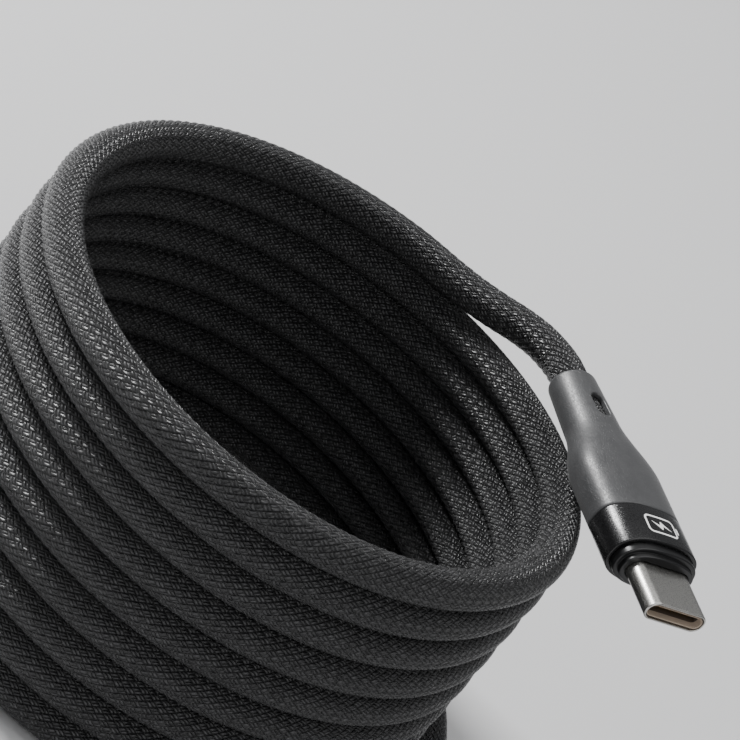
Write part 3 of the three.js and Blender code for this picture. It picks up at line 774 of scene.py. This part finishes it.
def evenly(line: np.ndarray, count: int) -> np.ndarray:
    """Returns a number of points spaced evenly along a line of points."""
    along = np.concatenate([[0.0], np.cumsum(np.linalg.norm(np.diff(line, axis=0), axis=1))])
    at = np.linspace(0.0, along[-1], count)
    return np.stack([np.interp(at, along, line[:, axis]) for axis in range(3)], axis=1)


def length_of(line: np.ndarray) -> float:
    """Returns the length of a line of points."""
    return float(np.linalg.norm(np.diff(line, axis=0), axis=1).sum())


def tube_frames(line: np.ndarray) -> tuple[np.ndarray, np.ndarray]:
    """Returns the sideways and upward directions across a line that never runs upright."""
    ahead = np.gradient(line, axis=0)
    ahead /= np.linalg.norm(ahead, axis=1)[:, None]
    side = np.cross(ahead, [0.0, 0.0, 1.0])
    side /= np.linalg.norm(side, axis=1)[:, None]
    return side, np.cross(side, ahead)


@dataclass
class WoundCord:
    """The braided cord: inside boot A, round the coil from its top turn down, and into boot B."""

    diameter: float = 0.0044
    turn_gap: float = 0.0001
    top_radius: float = 0.033
    flare: float = 0.0006
    turns: float = 8.61
    start_angle: float = 80.0
    points_per_turn: int = 36
    steps_per_point: int = 12
    wander_out: float = 0.00014
    wander_up: float = 0.00012
    carriers: int = BRAID.carriers
    crossing: float = 0.0013  # metres along the cord from one yarn pair to the next
    relief: float = 0.00012  # how far a crossing stands proud of the gaps beside it
    swell: float = 0.00007  # how far a crossing stands out past the cord's nominal radius
    twist: float = 0.9  # radians that the braid turns in each turn of the coil
    strips: int = 12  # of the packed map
    strip_margin: float = 0.06
    map_border: float = 0.003
    cap_on_map: float = 0.002

    def __post_init__(self) -> None:
        """Finds the coil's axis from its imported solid, and the turns' heights."""
        low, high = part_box("cord_coil")
        self.axis = Vector(((low.x + high.x) / 2, (low.y + high.y) / 2, low.z))
        self.radius = self.diameter / 2
        self.top_height = self.radius + (self.diameter + self.turn_gap) * self.turns
        self.base_height = self.radius + self.swell
        self.pitch = (self.top_height - self.base_height) / self.turns

    def spot(self, angle: float, reach: float, height: float) -> Vector:
        """Returns the point at an angle in radians, a distance from the coil's axis and a height."""
        return self.axis + Vector((reach * math.cos(angle), reach * math.sin(angle), height))

    def lead(self) -> list[Vector]:
        """Returns the route from the top turn to plug A."""
        radius, height = self.top_radius, self.top_height
        return [self.spot(math.radians(p.angle), radius + p.out, height + p.up) for p in LEAD_ROUTE]

    def tail(self) -> list[Vector]:
        """Returns the route from the bottom turn to plug B."""
        radius, height = self.top_radius + self.flare, self.radius
        return [self.spot(math.radians(p.angle), radius + p.out, height + p.up) for p in TAIL_ROUTE]

    def turn_points(self) -> list[Vector]:
        """Returns points down the coil, with the small unevenness of hand winding."""
        points = []
        steps = round(self.turns * self.points_per_turn)
        for step in range(1, steps):
            done = self.turns * step / steps
            left = self.turns - done
            angle = math.radians(self.start_angle) + 2.0 * math.pi * done
            fade = min(1.0, done * 2.0, left * 2.0)
            out = math.sin(2.0 * angle + 0.7 * done) + 0.7 * math.sin(3.0 * angle - 0.9 * done + 1.0)
            up = math.sin(2.0 * angle + 0.25 * done + 0.5) + 0.6 * math.sin(3.0 * angle + 0.2 * done)
            reach = self.top_radius + self.flare * done / self.turns + self.wander_out * fade * out
            height = self.base_height + self.pitch * left + self.wander_up * fade * up * left / self.turns
            points.append(self.spot(angle, reach, height))
        return points

    def build(self, inside_a: list[Vector], inside_b: list[Vector]) -> tuple[bpy.types.Object, np.ndarray]:
        """Braids the sleeve over the cord's whole route.

        Args:
            inside_a: The route inside boot A, from the crimp outwards.
            inside_b: The route inside boot B, from the crimp outwards.

        Returns:
            The cord and the line that it follows.
        """
        route = [*inside_a, *self.lead()[::-1], *self.turn_points(), *self.tail(), *inside_b[::-1]]
        line = smooth_line(route, self.steps_per_point)
        columns = 2 * self.carriers
        rows = round(length_of(line) / (self.crossing / 2))
        line = evenly(line, rows + 1)
        side, up = tube_frames(line)
        row, column = np.meshgrid(np.arange(rows + 1), np.arange(columns), indexing="ij")
        travelled = row * (length_of(line) / rows) / (2.0 * math.pi * self.top_radius)
        angle = 2.0 * math.pi * column / columns + self.twist * travelled
        proud = np.where((row + column) % 2 == 1, 0.5, -0.5) * self.relief
        reach = (self.radius + self.swell - self.relief / 2 + proud)[..., None]
        spoke = np.cos(angle)[..., None] * side[:, None] + np.sin(angle)[..., None] * up[:, None]
        points = (line[:, None] + reach * spoke).reshape(-1, 3)

        first = len(points)
        number = np.arange(first).reshape(rows + 1, columns)
        beside = np.roll(number, -1, axis=1)
        quads = np.stack([number[:-1], number[1:], beside[1:], beside[:-1]], axis=-1).reshape(-1, 4)
        front = np.stack([number[0], beside[0], np.full(columns, first)], axis=1)
        back = np.stack([beside[-1], number[-1], np.full(columns, first + 1)], axis=1)
        mesh = bpy.data.meshes.new("braided_cord")
        vertices = np.concatenate([points, line[[0, -1]]])
        mesh.from_pydata(vertices.tolist(), [], [*quads.tolist(), *front.tolist(), *back.tolist()])
        mesh.update()
        self.lay_maps(mesh, rows, columns)
        mesh.materials.append(BRAID.material())
        mesh.shade_smooth()
        LOG.info("braided_cord: %.3f m, %d faces", length_of(line), len(mesh.polygons))
        return add_object("braided_cord", mesh), line

    def lay_maps(self, mesh: bpy.types.Mesh, rows: int, columns: int) -> None:
        """Lays the braid's own map, and one that packs the cord in strips side by side for baking.

        Args:
            mesh: The cord's mesh, its caps last.
            rows: The rows of faces along it.
            columns: The faces round it.
        """
        i, j = np.meshgrid(np.arange(rows), np.arange(columns), indexing="ij")
        u = np.stack([j, j, j + 1, j + 1], axis=-1).ravel()
        v = np.stack([i, i + 1, i + 1, i], axis=-1).ravel()
        cap_u, cap_v = (np.tile(corner, 2 * columns) for corner in ([0.0, 1.0, 0.5], [0.0, 0.0, 1.0]))
        per_strip = math.ceil(rows / self.strips)
        strip = np.repeat((i // per_strip).ravel(), 4)
        run = self.map_border + (1.0 - 2.0 * self.map_border) * (v - strip * per_strip) / per_strip
        across = (strip + self.strip_margin + (1.0 - 2.0 * self.strip_margin) * u / columns) / self.strips
        maps = {BRAID.map_name: (u / 2, v / 2, 0.0), "OFBake": (run, across, self.cap_on_map)}
        for name, (along_u, along_v, cap) in maps.items():
            layer = mesh.uv_layers.new(name=name, do_init=False)
            pairs = np.stack([np.append(along_u, cap * cap_u), np.append(along_v, cap * cap_v)], axis=1)
            layer.uv.foreach_set("vector", pairs.astype(np.float32).ravel())


# ---------- a plug ----------
@dataclass
class Plug:
    """One end of the cable: the shell, collar, band and boot, and what they hold.

    Its own frame is in millimetres: X forward with 0 at the collar's front, Y across and Z up.
    """

    end: End
    entry: Vector  # where the cord enters the boot
    heading: float  # degrees, the way the plug points
    points: int = 120  # round a main outline
    fit: float = 0.05
    shell_width: float = 8.34
    shell_height: float = 2.56
    shell_wall: float = 0.25
    shell_exposed: float = 6.3
    shell_sunk: float = 3.0
    shell_edges: tuple[float, float] = (0.17, 0.07)  # outer and inner lip
    housing_top_room: float = 0.19
    housing_lip: float = 0.5  # how deep the way into the slot narrows
    slot: tuple[float, float] = (7.0, 1.0)
    slot_corner: float = 0.17
    slot_flare: tuple[float, float] = (0.3, 0.16)
    liner_back: float = 5.35
    liner_inset: float = 0.12  # from the shell's lip
    liner_wall: float = 0.2
    contact_count: int = 12
    contact_pitch: float = 0.5
    contact_width: float = 0.24
    contact_height: float = 0.39
    carrier: tuple[float, float] = (5.72, 0.17)
    carrier_height: float = 0.235
    carrier_front: float = 0.6
    spring_height: float = 0.935
    spring_plate: tuple[float, float] = (5.3, 0.08)
    spring_ends: tuple[float, float] = (1.0, 3.12)
    collar_length: float = 1.8
    collar_lip: float = 0.7
    collar_rim: float = 0.5
    collar_lip_rim: float = 0.5
    collar_edges: tuple[float, float, float] = (0.16, 0.05, 0.14)  # step, lip's root and lip
    collar_chamfer: float = 0.12
    band_width: float = 11.8
    band_height: float = 6.7
    band_length: float = 5.6
    band_wall: float = 0.5
    band_edges: tuple[float, float, float] = (0.12, 0.16, 0.08)  # back, front and inner front
    oval_power: float = 2.5
    symbol: tuple[float, float] = (2.8, 4.3)
    symbol_line: float = 0.24
    symbol_corner: float = 0.65
    ink_from_to: tuple[float, float] = (0.004, 0.012)  # above the band
    boot_length: float = 23.5
    grip_length: float = 6.8
    taper_length: float = 9.0
    neck: tuple[float, float] = (7.2, 5.8)
    boot_end: tuple[float, float] = (6.2, 5.3)
    boot_break: float = 0.06  # at the band
    boot_edge: tuple[float, float] = (0.45, 0.35)  # along and into the neck's end
    window: tuple[float, float] = (3.8, 1.9)
    window_to_end: float = 6.0
    window_rim: float = 0.22
    window_points: int = 48
    cord_radius: float = 2.2
    cord_start: float = -16.9
    bore_room: float = 0.09
    mould: tuple[float, float] = (9.7, 4.5)
    mould_power: float = 4.0
    mould_room: float = 0.15
    mould_back: float = -16.3
    inside_gap: float = 0.3
    crimp_back: float = 4.6  # behind the mould
    crimp_wall: float = 0.45
    crimp_room: float = 0.1

    def __post_init__(self) -> None:
        """Works out the places along the plug from its sizes."""
        self.band_front = -self.collar_length
        self.band_back = self.band_front - self.band_length
        self.boot_front = self.band_back - self.fit
        self.boot_back = self.boot_front - self.boot_length
        self.window_centre = self.boot_back + self.window_to_end
        self.housing_back = -self.shell_sunk + self.fit
        turn = math.radians(self.heading)
        ahead = Vector((math.cos(turn), math.sin(turn), 0.0))
        origin = self.entry - ahead * self.boot_back * MM
        self.place = Matrix.Translation(origin) @ Matrix.Rotation(turn, 4, "Z")

    def named(self, name: str) -> str:
        """Returns a piece's name with this end's letter."""
        return f"{name}_{self.end.value}"

    def finish(
        self,
        name: str,
        mesh: bpy.types.Mesh,
        look: Finish,
        node: str | None = None,
        edge: Edge = Edge.PLAIN,
    ) -> bpy.types.Object:
        """Places a piece, dresses it and hangs it on the cable's body.

        Args:
            name: The piece's name, without this end's letter.
            mesh: Its mesh, in the plug's own millimetres.
            look: Its finish.
            node: The CAD node that it stands for, without this end's letter.
            edge: Which of its edges stay sharp.

        Returns:
            The finished piece.
        """
        mesh.transform(self.place @ Matrix.Scale(MM, 4))
        mesh.materials.clear()
        mesh.materials.append(look.material())
        mesh.shade_smooth()
        mesh.set_sharp_from_angle(angle=math.radians(edge.value))
        mesh.name = self.named(name)
        piece = add_object(self.named(name), mesh)
        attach(piece, CABLE_BODY)
        if node:
            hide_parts(self.named(node))
        LOG.info("%s: %d faces", piece.name, len(mesh.polygons))
        return piece

    def cord_inside(self) -> list[Vector]:
        """Returns the cord's line inside the boot, from the crimp to just short of the entry."""
        reach = self.boot_back - self.cord_start
        places = [self.cord_start + reach * share for share in (0.0, 0.3, 0.6, 0.88)]
        return [self.place @ Vector((x * MM, 0.0, 0.0)) for x in places]

    def pill(self, inset: float) -> Outline:
        """Returns the shell's outline, drawn in by a wall."""
        height = self.shell_height - 2 * inset
        return rounded_box(self.shell_width - 2 * inset, height, height / 2 - 0.001, self.points)

    def soft_oval(self, inset: float) -> Outline:
        """Returns the band's outline, drawn in by a wall."""
        width, height = self.band_width - 2 * inset, self.band_height - 2 * inset
        return oval(width, height, self.oval_power, self.points)

    def housing_outline(self, inset: float) -> Outline:
        """Returns the contact housing's outline, drawn in by a wall."""
        height = self.shell_height - 2 * (self.shell_wall + self.housing_top_room + inset)
        width = self.shell_width - 2 * (self.shell_wall + self.fit + inset)
        return rounded_box(width, height, height / 2 - 0.001, self.points)

    def slot_outline(self, grow: float) -> Outline:
        """Returns the outline of the slot between the contact rows, let out by a margin."""
        width, height = self.slot
        return rounded_box(width + grow, height + grow, self.slot_corner + grow / 3, self.points)

    def build_shell(self) -> bpy.types.Object:
        """Draws the plug shell with its rolled lip."""
        front, back, wall = self.shell_exposed, -self.shell_sunk, self.shell_wall
        outer, inner = self.shell_edges
        profile = round_corners([
            (back, 0.0, 0.0), (front, 0.0, outer), (front, wall, inner), (back, wall, 0.0),
        ])
        skin = Skin().loft([section(x, self.pill(inset)) for x, inset in profile], closed=True)
        return self.finish("deep_drawn_shell", skin.mesh(), SHELL, "plug_shell", Edge.ROUND)

    def build_collar(self) -> bpy.types.Object:
        """Moulds the two-step collar round the shell's root."""
        rim, lip = self.collar_rim, self.collar_rim + self.collar_lip_rim
        back, step = self.band_front + self.fit, -self.collar_lip
        step_edge, root_edge, lip_edge = self.collar_edges
        profile = round_corners([
            (back, rim, 0.0), (step, rim, step_edge), (step, lip, root_edge), (0.0, lip, lip_edge),
            (0.0, 2 * lip, 0.0),
        ])[:-1]
        hole = self.pill(-self.fit)
        skin = Skin().loft([
            *(section(x, self.soft_oval(inset)) for x, inset in profile),
            section(0.0, self.pill(-self.fit - self.collar_chamfer)),
            section(-self.collar_chamfer, hole),
            section(back, hole),
        ], closed=True)
        return self.finish("stepped_collar", skin.mesh(), COLLAR, "front_collar")

    def build_band(self) -> bpy.types.Object:
        """Draws the metal band with its broken edges."""
        front, back, wall = self.band_front, self.band_back, self.band_wall
        rear, outer, inner = self.band_edges
        profile = round_corners([
            (back, 0.0, rear), (front, 0.0, outer), (front, wall, inner), (back, wall, 0.0),
        ])
        skin = Skin().loft([section(x, self.soft_oval(inset)) for x, inset in profile], closed=True)
        return self.finish("anodised_band", skin.mesh(), BAND, "metal_band", Edge.ROUND)

    def boot_size(self, behind: float) -> tuple[float, float, float]:
        """Returns the width, height and power of the boot's section at a distance behind its front."""
        neck_start = self.grip_length + self.taper_length
        share = min(1.0, max(0.0, (behind - self.grip_length) / self.taper_length))
        step = share * share * (3.0 - 2.0 * share)
        along = min(1.0, max(0.0, (behind - neck_start) / (self.boot_length - neck_start)))
        neck = [a + (b - a) * along for a, b in zip(self.neck, self.boot_end)]
        width, height = (a + (b - a) * step for a, b in zip((self.band_width, self.band_height), neck))
        return width, height, self.oval_power + (2.0 - self.oval_power) * step

    def boot_ring(self, behind: float, inset: float = 0.0) -> Ring:
        """Returns the boot's section at a distance behind its front, drawn in by an inset."""
        width, height, power = self.boot_size(behind)
        outline = oval(width - 2 * inset, height - 2 * inset, power, self.points)
        return section(self.boot_front - behind, outline)

    def boot_top(self, x: float, y: float) -> float:
        """Returns the height of the boot's top above its axis at a place along and across it."""
        width, height, power = self.boot_size(self.boot_front - x)
        return height / 2 * (1.0 - min(0.999, abs(2 * y / width)) ** power) ** (1.0 / power)

    def window_cutter(self, face: Face) -> bpy.types.Mesh:
        """Returns the cutter of the slot that opens on a face, with a round rim that follows the neck."""
        length, width = self.window
        rings = []

        def cut(grown: float, height: Callable[[float, float], float]) -> None:
            """Adds the slot's outline, let out by a margin, at a height above the axis."""
            box = (length + 2 * grown, width + 2 * grown, width / 2 + grown - 0.002)
            outline = rounded_box(*box, self.window_points)
            rings.append(raised(outline, self.window_centre, lambda x, y: face.value * height(x, y)))

        for share in (0.5, 0.75):
            cut(0.0, lambda x, y: self.cord_radius * share)
        steps = 6
        for step in range(steps + 1):
            angle = math.pi / 2 * step / steps
            above = 0.02 if step == steps else self.window_rim * (math.sin(angle) - 1.0)
            cut(self.window_rim * (1.0 - math.cos(angle)), lambda x, y: self.boot_top(x, y) + above)
        cut(self.window_rim, lambda x, y: self.band_height)
        return Skin().loft(rings).mesh()

    def boot_hollow(self) -> bpy.types.Mesh:
        """Returns the cutter of the room for the mould, the crimp ring and the cord."""
        mould = oval(*(size + 2 * self.mould_room for size in self.mould), self.mould_power, 48)
        crimp_width = 2 * (self.cord_radius + self.fit + self.crimp_wall + self.crimp_room)
        crimp = oval(crimp_width, crimp_width, 2.0, 48)
        bore_width = 2 * (self.cord_radius + self.bore_room)
        bore = oval(bore_width, bore_width, 2.0, 48)
        step, crimp_end = self.mould_back - self.inside_gap, self.mould_back - self.crimp_back
        return Skin().loft([
            section(self.boot_front + 1.0, mould), section(step, mould), section(step, crimp),
            section(crimp_end, crimp), section(crimp_end, bore), section(self.boot_back - 1.0, bore),
        ]).mesh()

    def build_boot(self) -> bpy.types.Object:
        """Moulds the strain relief: a flat grip, a taper and a round neck with a slot through it."""
        neck_start = self.grip_length + self.taper_length
        cuts = [
            self.boot_break, 0.4, *np.linspace(1.0, self.grip_length, 8),
            *np.linspace(self.grip_length, neck_start, 26)[1:],
            *np.linspace(neck_start, self.boot_length - 0.5, 14)[1:],
        ]
        rings = [self.boot_ring(0.0, self.boot_break), *(self.boot_ring(cut) for cut in cuts)]
        along, into = self.boot_edge
        for angle in np.linspace(0.0, math.pi / 2, 8)[1:]:
            behind = self.boot_length - along + along * math.sin(angle)
            rings.append(self.boot_ring(behind, into * (1.0 - math.cos(angle))))
        cutters = [self.boot_hollow(), *(self.window_cutter(face) for face in Face)]
        mesh = carved(Skin().loft(rings).mesh(), cutters)
        return self.finish("moulded_boot", mesh, BOOT, "strain_relief", Edge.BROKEN)

    def build_symbol(self) -> bpy.types.Object:
        """Prints the charging symbol on the band: a battery outline with a lightning bolt in it."""
        skin = Skin()
        centre = (self.band_front + self.band_back) / 2
        low, high = self.ink_from_to

        def inked(outline: Outline, lift: float) -> Ring:
            """Lays an outline on the band's top, lifted a little."""
            def height(_: float, y: float) -> float:
                """Returns the ink's height at a place across the band."""
                bend = abs(2 * y / self.band_width) ** self.oval_power
                return self.band_height / 2 * (1.0 - bend) ** (1.0 / self.oval_power) + lift
            return raised(outline, centre, height)

        width, height = self.symbol
        thin, corner = 2 * self.symbol_line, self.symbol_corner
        outer = rounded_box(width, height, corner, 96)
        inner = rounded_box(width - thin, height - thin, corner - self.symbol_line + 0.02, 96)
        skin.loft([inked(outer, low), inked(outer, high), inked(inner, high), inked(inner, low)], closed=True)
        nub = [(x, y + 2.42) for x, y in rounded_box(1.0, 0.3, 0.12, 24)]
        half_bolt = [(0.66, 0.0), (0.02, 0.24), (0.5, 1.35)]
        bolt = [*half_bolt, *((-x, -y) for x, y in half_bolt)]
        for patch in (nub, bolt):
            skin.loft([inked(patch, low), inked(patch, high)])
        return self.finish("charging_symbol", skin.mesh(), INK)

    def build_housing(self) -> list[bpy.types.Object]:
        """Returns the contact housing and the liner that leads a socket's tongue into it, as two painted
        copies of one plastic: the liner pale as if lit, the core dark with painted shade.
        """
        front, step, back = self.shell_exposed - self.liner_inset, self.liner_back, self.housing_back
        walls = [
            (step, 0.0), (front - 0.1, 0.0), (front - 0.03, 0.03), (front, 0.06), (front - 0.05, 0.12),
            (step, self.liner_wall),
        ]
        liner = Skin().loft([section(x, self.housing_outline(inset)) for x, inset in walls], closed=True)
        wide, narrow = self.slot_flare
        outside = [(back, 0.0), (step - 0.1, 0.0), (step - 0.1, 0.02), (step - 0.02, 0.06)]
        inside = [(step - 0.02, wide), (step - 0.1, narrow), (step - self.housing_lip, 0.0), (back, 0.0)]
        core = Skin().loft([
            *(section(x, self.housing_outline(inset)) for x, inset in outside),
            *(section(x, self.slot_outline(grow)) for x, grow in inside),
        ], closed=True)
        # the liner's tan is the housing plastic painted as if lit, and the core's dark brown is the same
        # plastic with painted shade
        parts = (("mouth_liner", liner, HOUSING_PAINTED_LIT), ("mouth_housing", core, HOUSING_PAINTED_SHADE))
        return [
            self.finish(name, skin.mesh(), look, "contact_housing", Edge.KEEN)
            for name, skin, look in parts
        ]

    @staticmethod
    def slab(
        size: tuple[float, float], corner: float, ends: tuple[float, float], height: float
    ) -> bpy.types.Mesh:
        """Makes a flat bar along the plug.

        Args:
            size: Its width and thickness.
            corner: The radius of its edges.
            ends: Where it starts and ends along the plug.
            height: The height of its middle.

        Returns:
            The bar.
        """
        outline = [(y, z + height) for y, z in rounded_box(*size, corner, 24)]
        return Skin().loft([section(x, outline) for x in ends]).mesh()

    def build_contacts(self, face: Face) -> None:
        """Makes the row of contacts on a side of the slot, and the carrier that holds them."""
        side = face.name.lower()
        node = f"{side}_contacts"
        row = BladeRow(
            count=self.contact_count, pitch=self.contact_pitch, width=self.contact_width, thickness=0.1,
            root=self.housing_back + 0.1, tip=self.liner_back - 0.6,
            height=self.contact_height * face.value, bow=-0.03 * face.value,
        )
        self.finish(f"{side}_contact_blades", row.mesh(GOLD), GOLD, node)
        ends = (self.housing_back + self.fit, self.carrier_front)
        carrier = self.slab(self.carrier, 0.05, ends, self.carrier_height * face.value)
        self.finish(f"{side}_contact_carrier", carrier, CHIP, node)

    def build_ground_spring(self, face: Face) -> None:
        """Makes the ground spring on a side of the housing: a plate with four sprung fingers."""
        side = face.name.lower()
        node = f"{side}_ground_spring"
        height = self.spring_height * face.value
        row = BladeRow(
            count=4, pitch=1.35, width=1.05, thickness=0.08, root=3.1, tip=5.1, height=height,
            bow=0.02 * face.value,
        )
        self.finish(f"{side}_spring_fingers", row.mesh(SPRING), SPRING, node)
        plate = self.slab(self.spring_plate, 0.03, self.spring_ends, height)
        self.finish(f"{side}_spring_plate", plate, SPRING, node)

    def dress_inside(self) -> None:
        """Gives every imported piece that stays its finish."""
        for name, look in INSIDE_LOOKS.items():
            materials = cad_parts[self.named(name)].data.materials
            materials.clear()
            materials.append(look.material())

    def build(self) -> list[bpy.types.Object]:
        """Builds the whole plug, and returns its outer pieces, which lie at the cord's end."""
        outer = [
            self.build_boot(), self.build_band(), self.build_symbol(), self.build_collar(),
            self.build_shell(), *self.build_housing(),
        ]
        for face in Face:
            self.build_contacts(face)
            self.build_ground_spring(face)
        self.dress_inside()
        return outer


# ---------- the studio ----------
@dataclass
class Studio:
    """A plain pale floor, soft lights and the camera."""

    axis: Vector  # the coil's axis on the floor
    lens: float = 146.0
    distance: float = 0.3266
    elevation: float = 27.28
    roll: float = 38.92
    aim: tuple[float, float, float] = (0.00507, -0.00039, 0.04143)  # from the coil's axis
    floor_size: float = 6.0
    air: Colour = (0.8, 0.81, 0.83)
    air_strength: float = 0.3
    coil_middle: float = 0.03  # metres above the floor

    def build_camera(self) -> None:
        """Places the camera, tilted over to one side."""
        elevation, roll = math.radians(self.elevation), math.radians(self.roll)
        back = Vector((0.0, -math.cos(elevation), math.sin(elevation)))
        up = Vector((0.0, math.sin(elevation), math.cos(elevation)))
        right = Vector((1.0, 0.0, 0.0))
        across = right * math.cos(roll) + up * math.sin(roll)
        upward = up * math.cos(roll) - right * math.sin(roll)
        data = bpy.data.cameras.new("camera")
        data.lens = self.lens
        data.clip_start = 0.01
        camera = bpy.data.objects.new("camera", data)
        bpy.context.scene.collection.objects.link(camera)
        turn = Matrix((across, upward, back)).transposed().to_4x4()
        target = self.axis + Vector(self.aim)
        camera.matrix_world = Matrix.Translation(target + back * self.distance) @ turn
        bpy.context.scene.camera = camera

    def build_floor(self) -> None:
        """Lays the floor and lights the room evenly."""
        half = self.floor_size / 2
        mesh = bpy.data.meshes.new("studio_floor")
        corners = [(-half, -half, 0.0), (half, -half, 0.0), (half, half, 0.0), (-half, half, 0.0)]
        mesh.from_pydata(corners, [], [(0, 1, 2, 3)])
        sheet = Sheet("pale_floor")
        sheet.set(Roughness=0.7)
        sheet.paint(sheet.noise(0.4, 2.0), (0.3, (0.56, 0.56, 0.565)), (0.7, (0.6, 0.6, 0.605)))
        mesh.materials.append(sheet.material)
        add_object("studio_floor", mesh)
        world = bpy.data.worlds.new("studio_air")
        world.use_nodes = True
        colour, strength = world.node_tree.nodes["Background"].inputs[:2]
        colour.default_value = (*self.air, 1.0)
        strength.default_value = self.air_strength
        bpy.context.scene.world = world

    def add_light(self, name: str, way: tuple[float, float, float], size: float, watts: float) -> None:
        """Hangs a square soft light that shines at the coil.

        Args:
            name: The light's name.
            way: The direction from the coil to the light, its length being the distance.
            size: The side of the square.
            watts: Its power.
        """
        data = bpy.data.lights.new(name, "AREA")
        data.size = size
        data.energy = watts
        light = bpy.data.objects.new(name, data)
        bpy.context.scene.collection.objects.link(light)
        light.location = self.axis + Vector((0.0, 0.0, self.coil_middle)) + Vector(way)
        light.rotation_euler = (-Vector(way)).to_track_quat("-Z", "Y").to_euler()

    def build_lights(self) -> None:
        """Hangs the key light, a fill in front and a soft light overhead."""
        self.add_light("key_light", (-0.62, 0.21, 0.43), 0.22, 13.0)
        self.add_light("front_fill", (0.45, -0.7, 0.45), 0.7, 3.0)
        self.add_light("overhead", (0.1, 0.1, 0.95), 0.9, 5.0)


def main() -> None:
    """Builds the cable and its studio, and reports each piece."""
    logging.basicConfig(level=logging.INFO, format="%(message)s")
    cord = WoundCord()
    studio = Studio(cord.axis)
    studio.build_camera()
    plug_a = Plug(End.A, cord.lead()[-1], -52.0)
    plug_b = Plug(End.B, cord.tail()[-1], 180.0)
    sleeve, line = cord.build(plug_a.cord_inside(), plug_b.cord_inside())
    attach(sleeve, CABLE_BODY)
    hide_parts("cord_coil", "cord_lead", "cord_tail", "cord_end_a", "cord_end_b")
    plug_a.build()
    far_plug = plug_b.build()
    tuple(cord.lead()[-1])
    studio.build_floor()
    studio.build_lights()


if __name__ == "__main__":
    main()
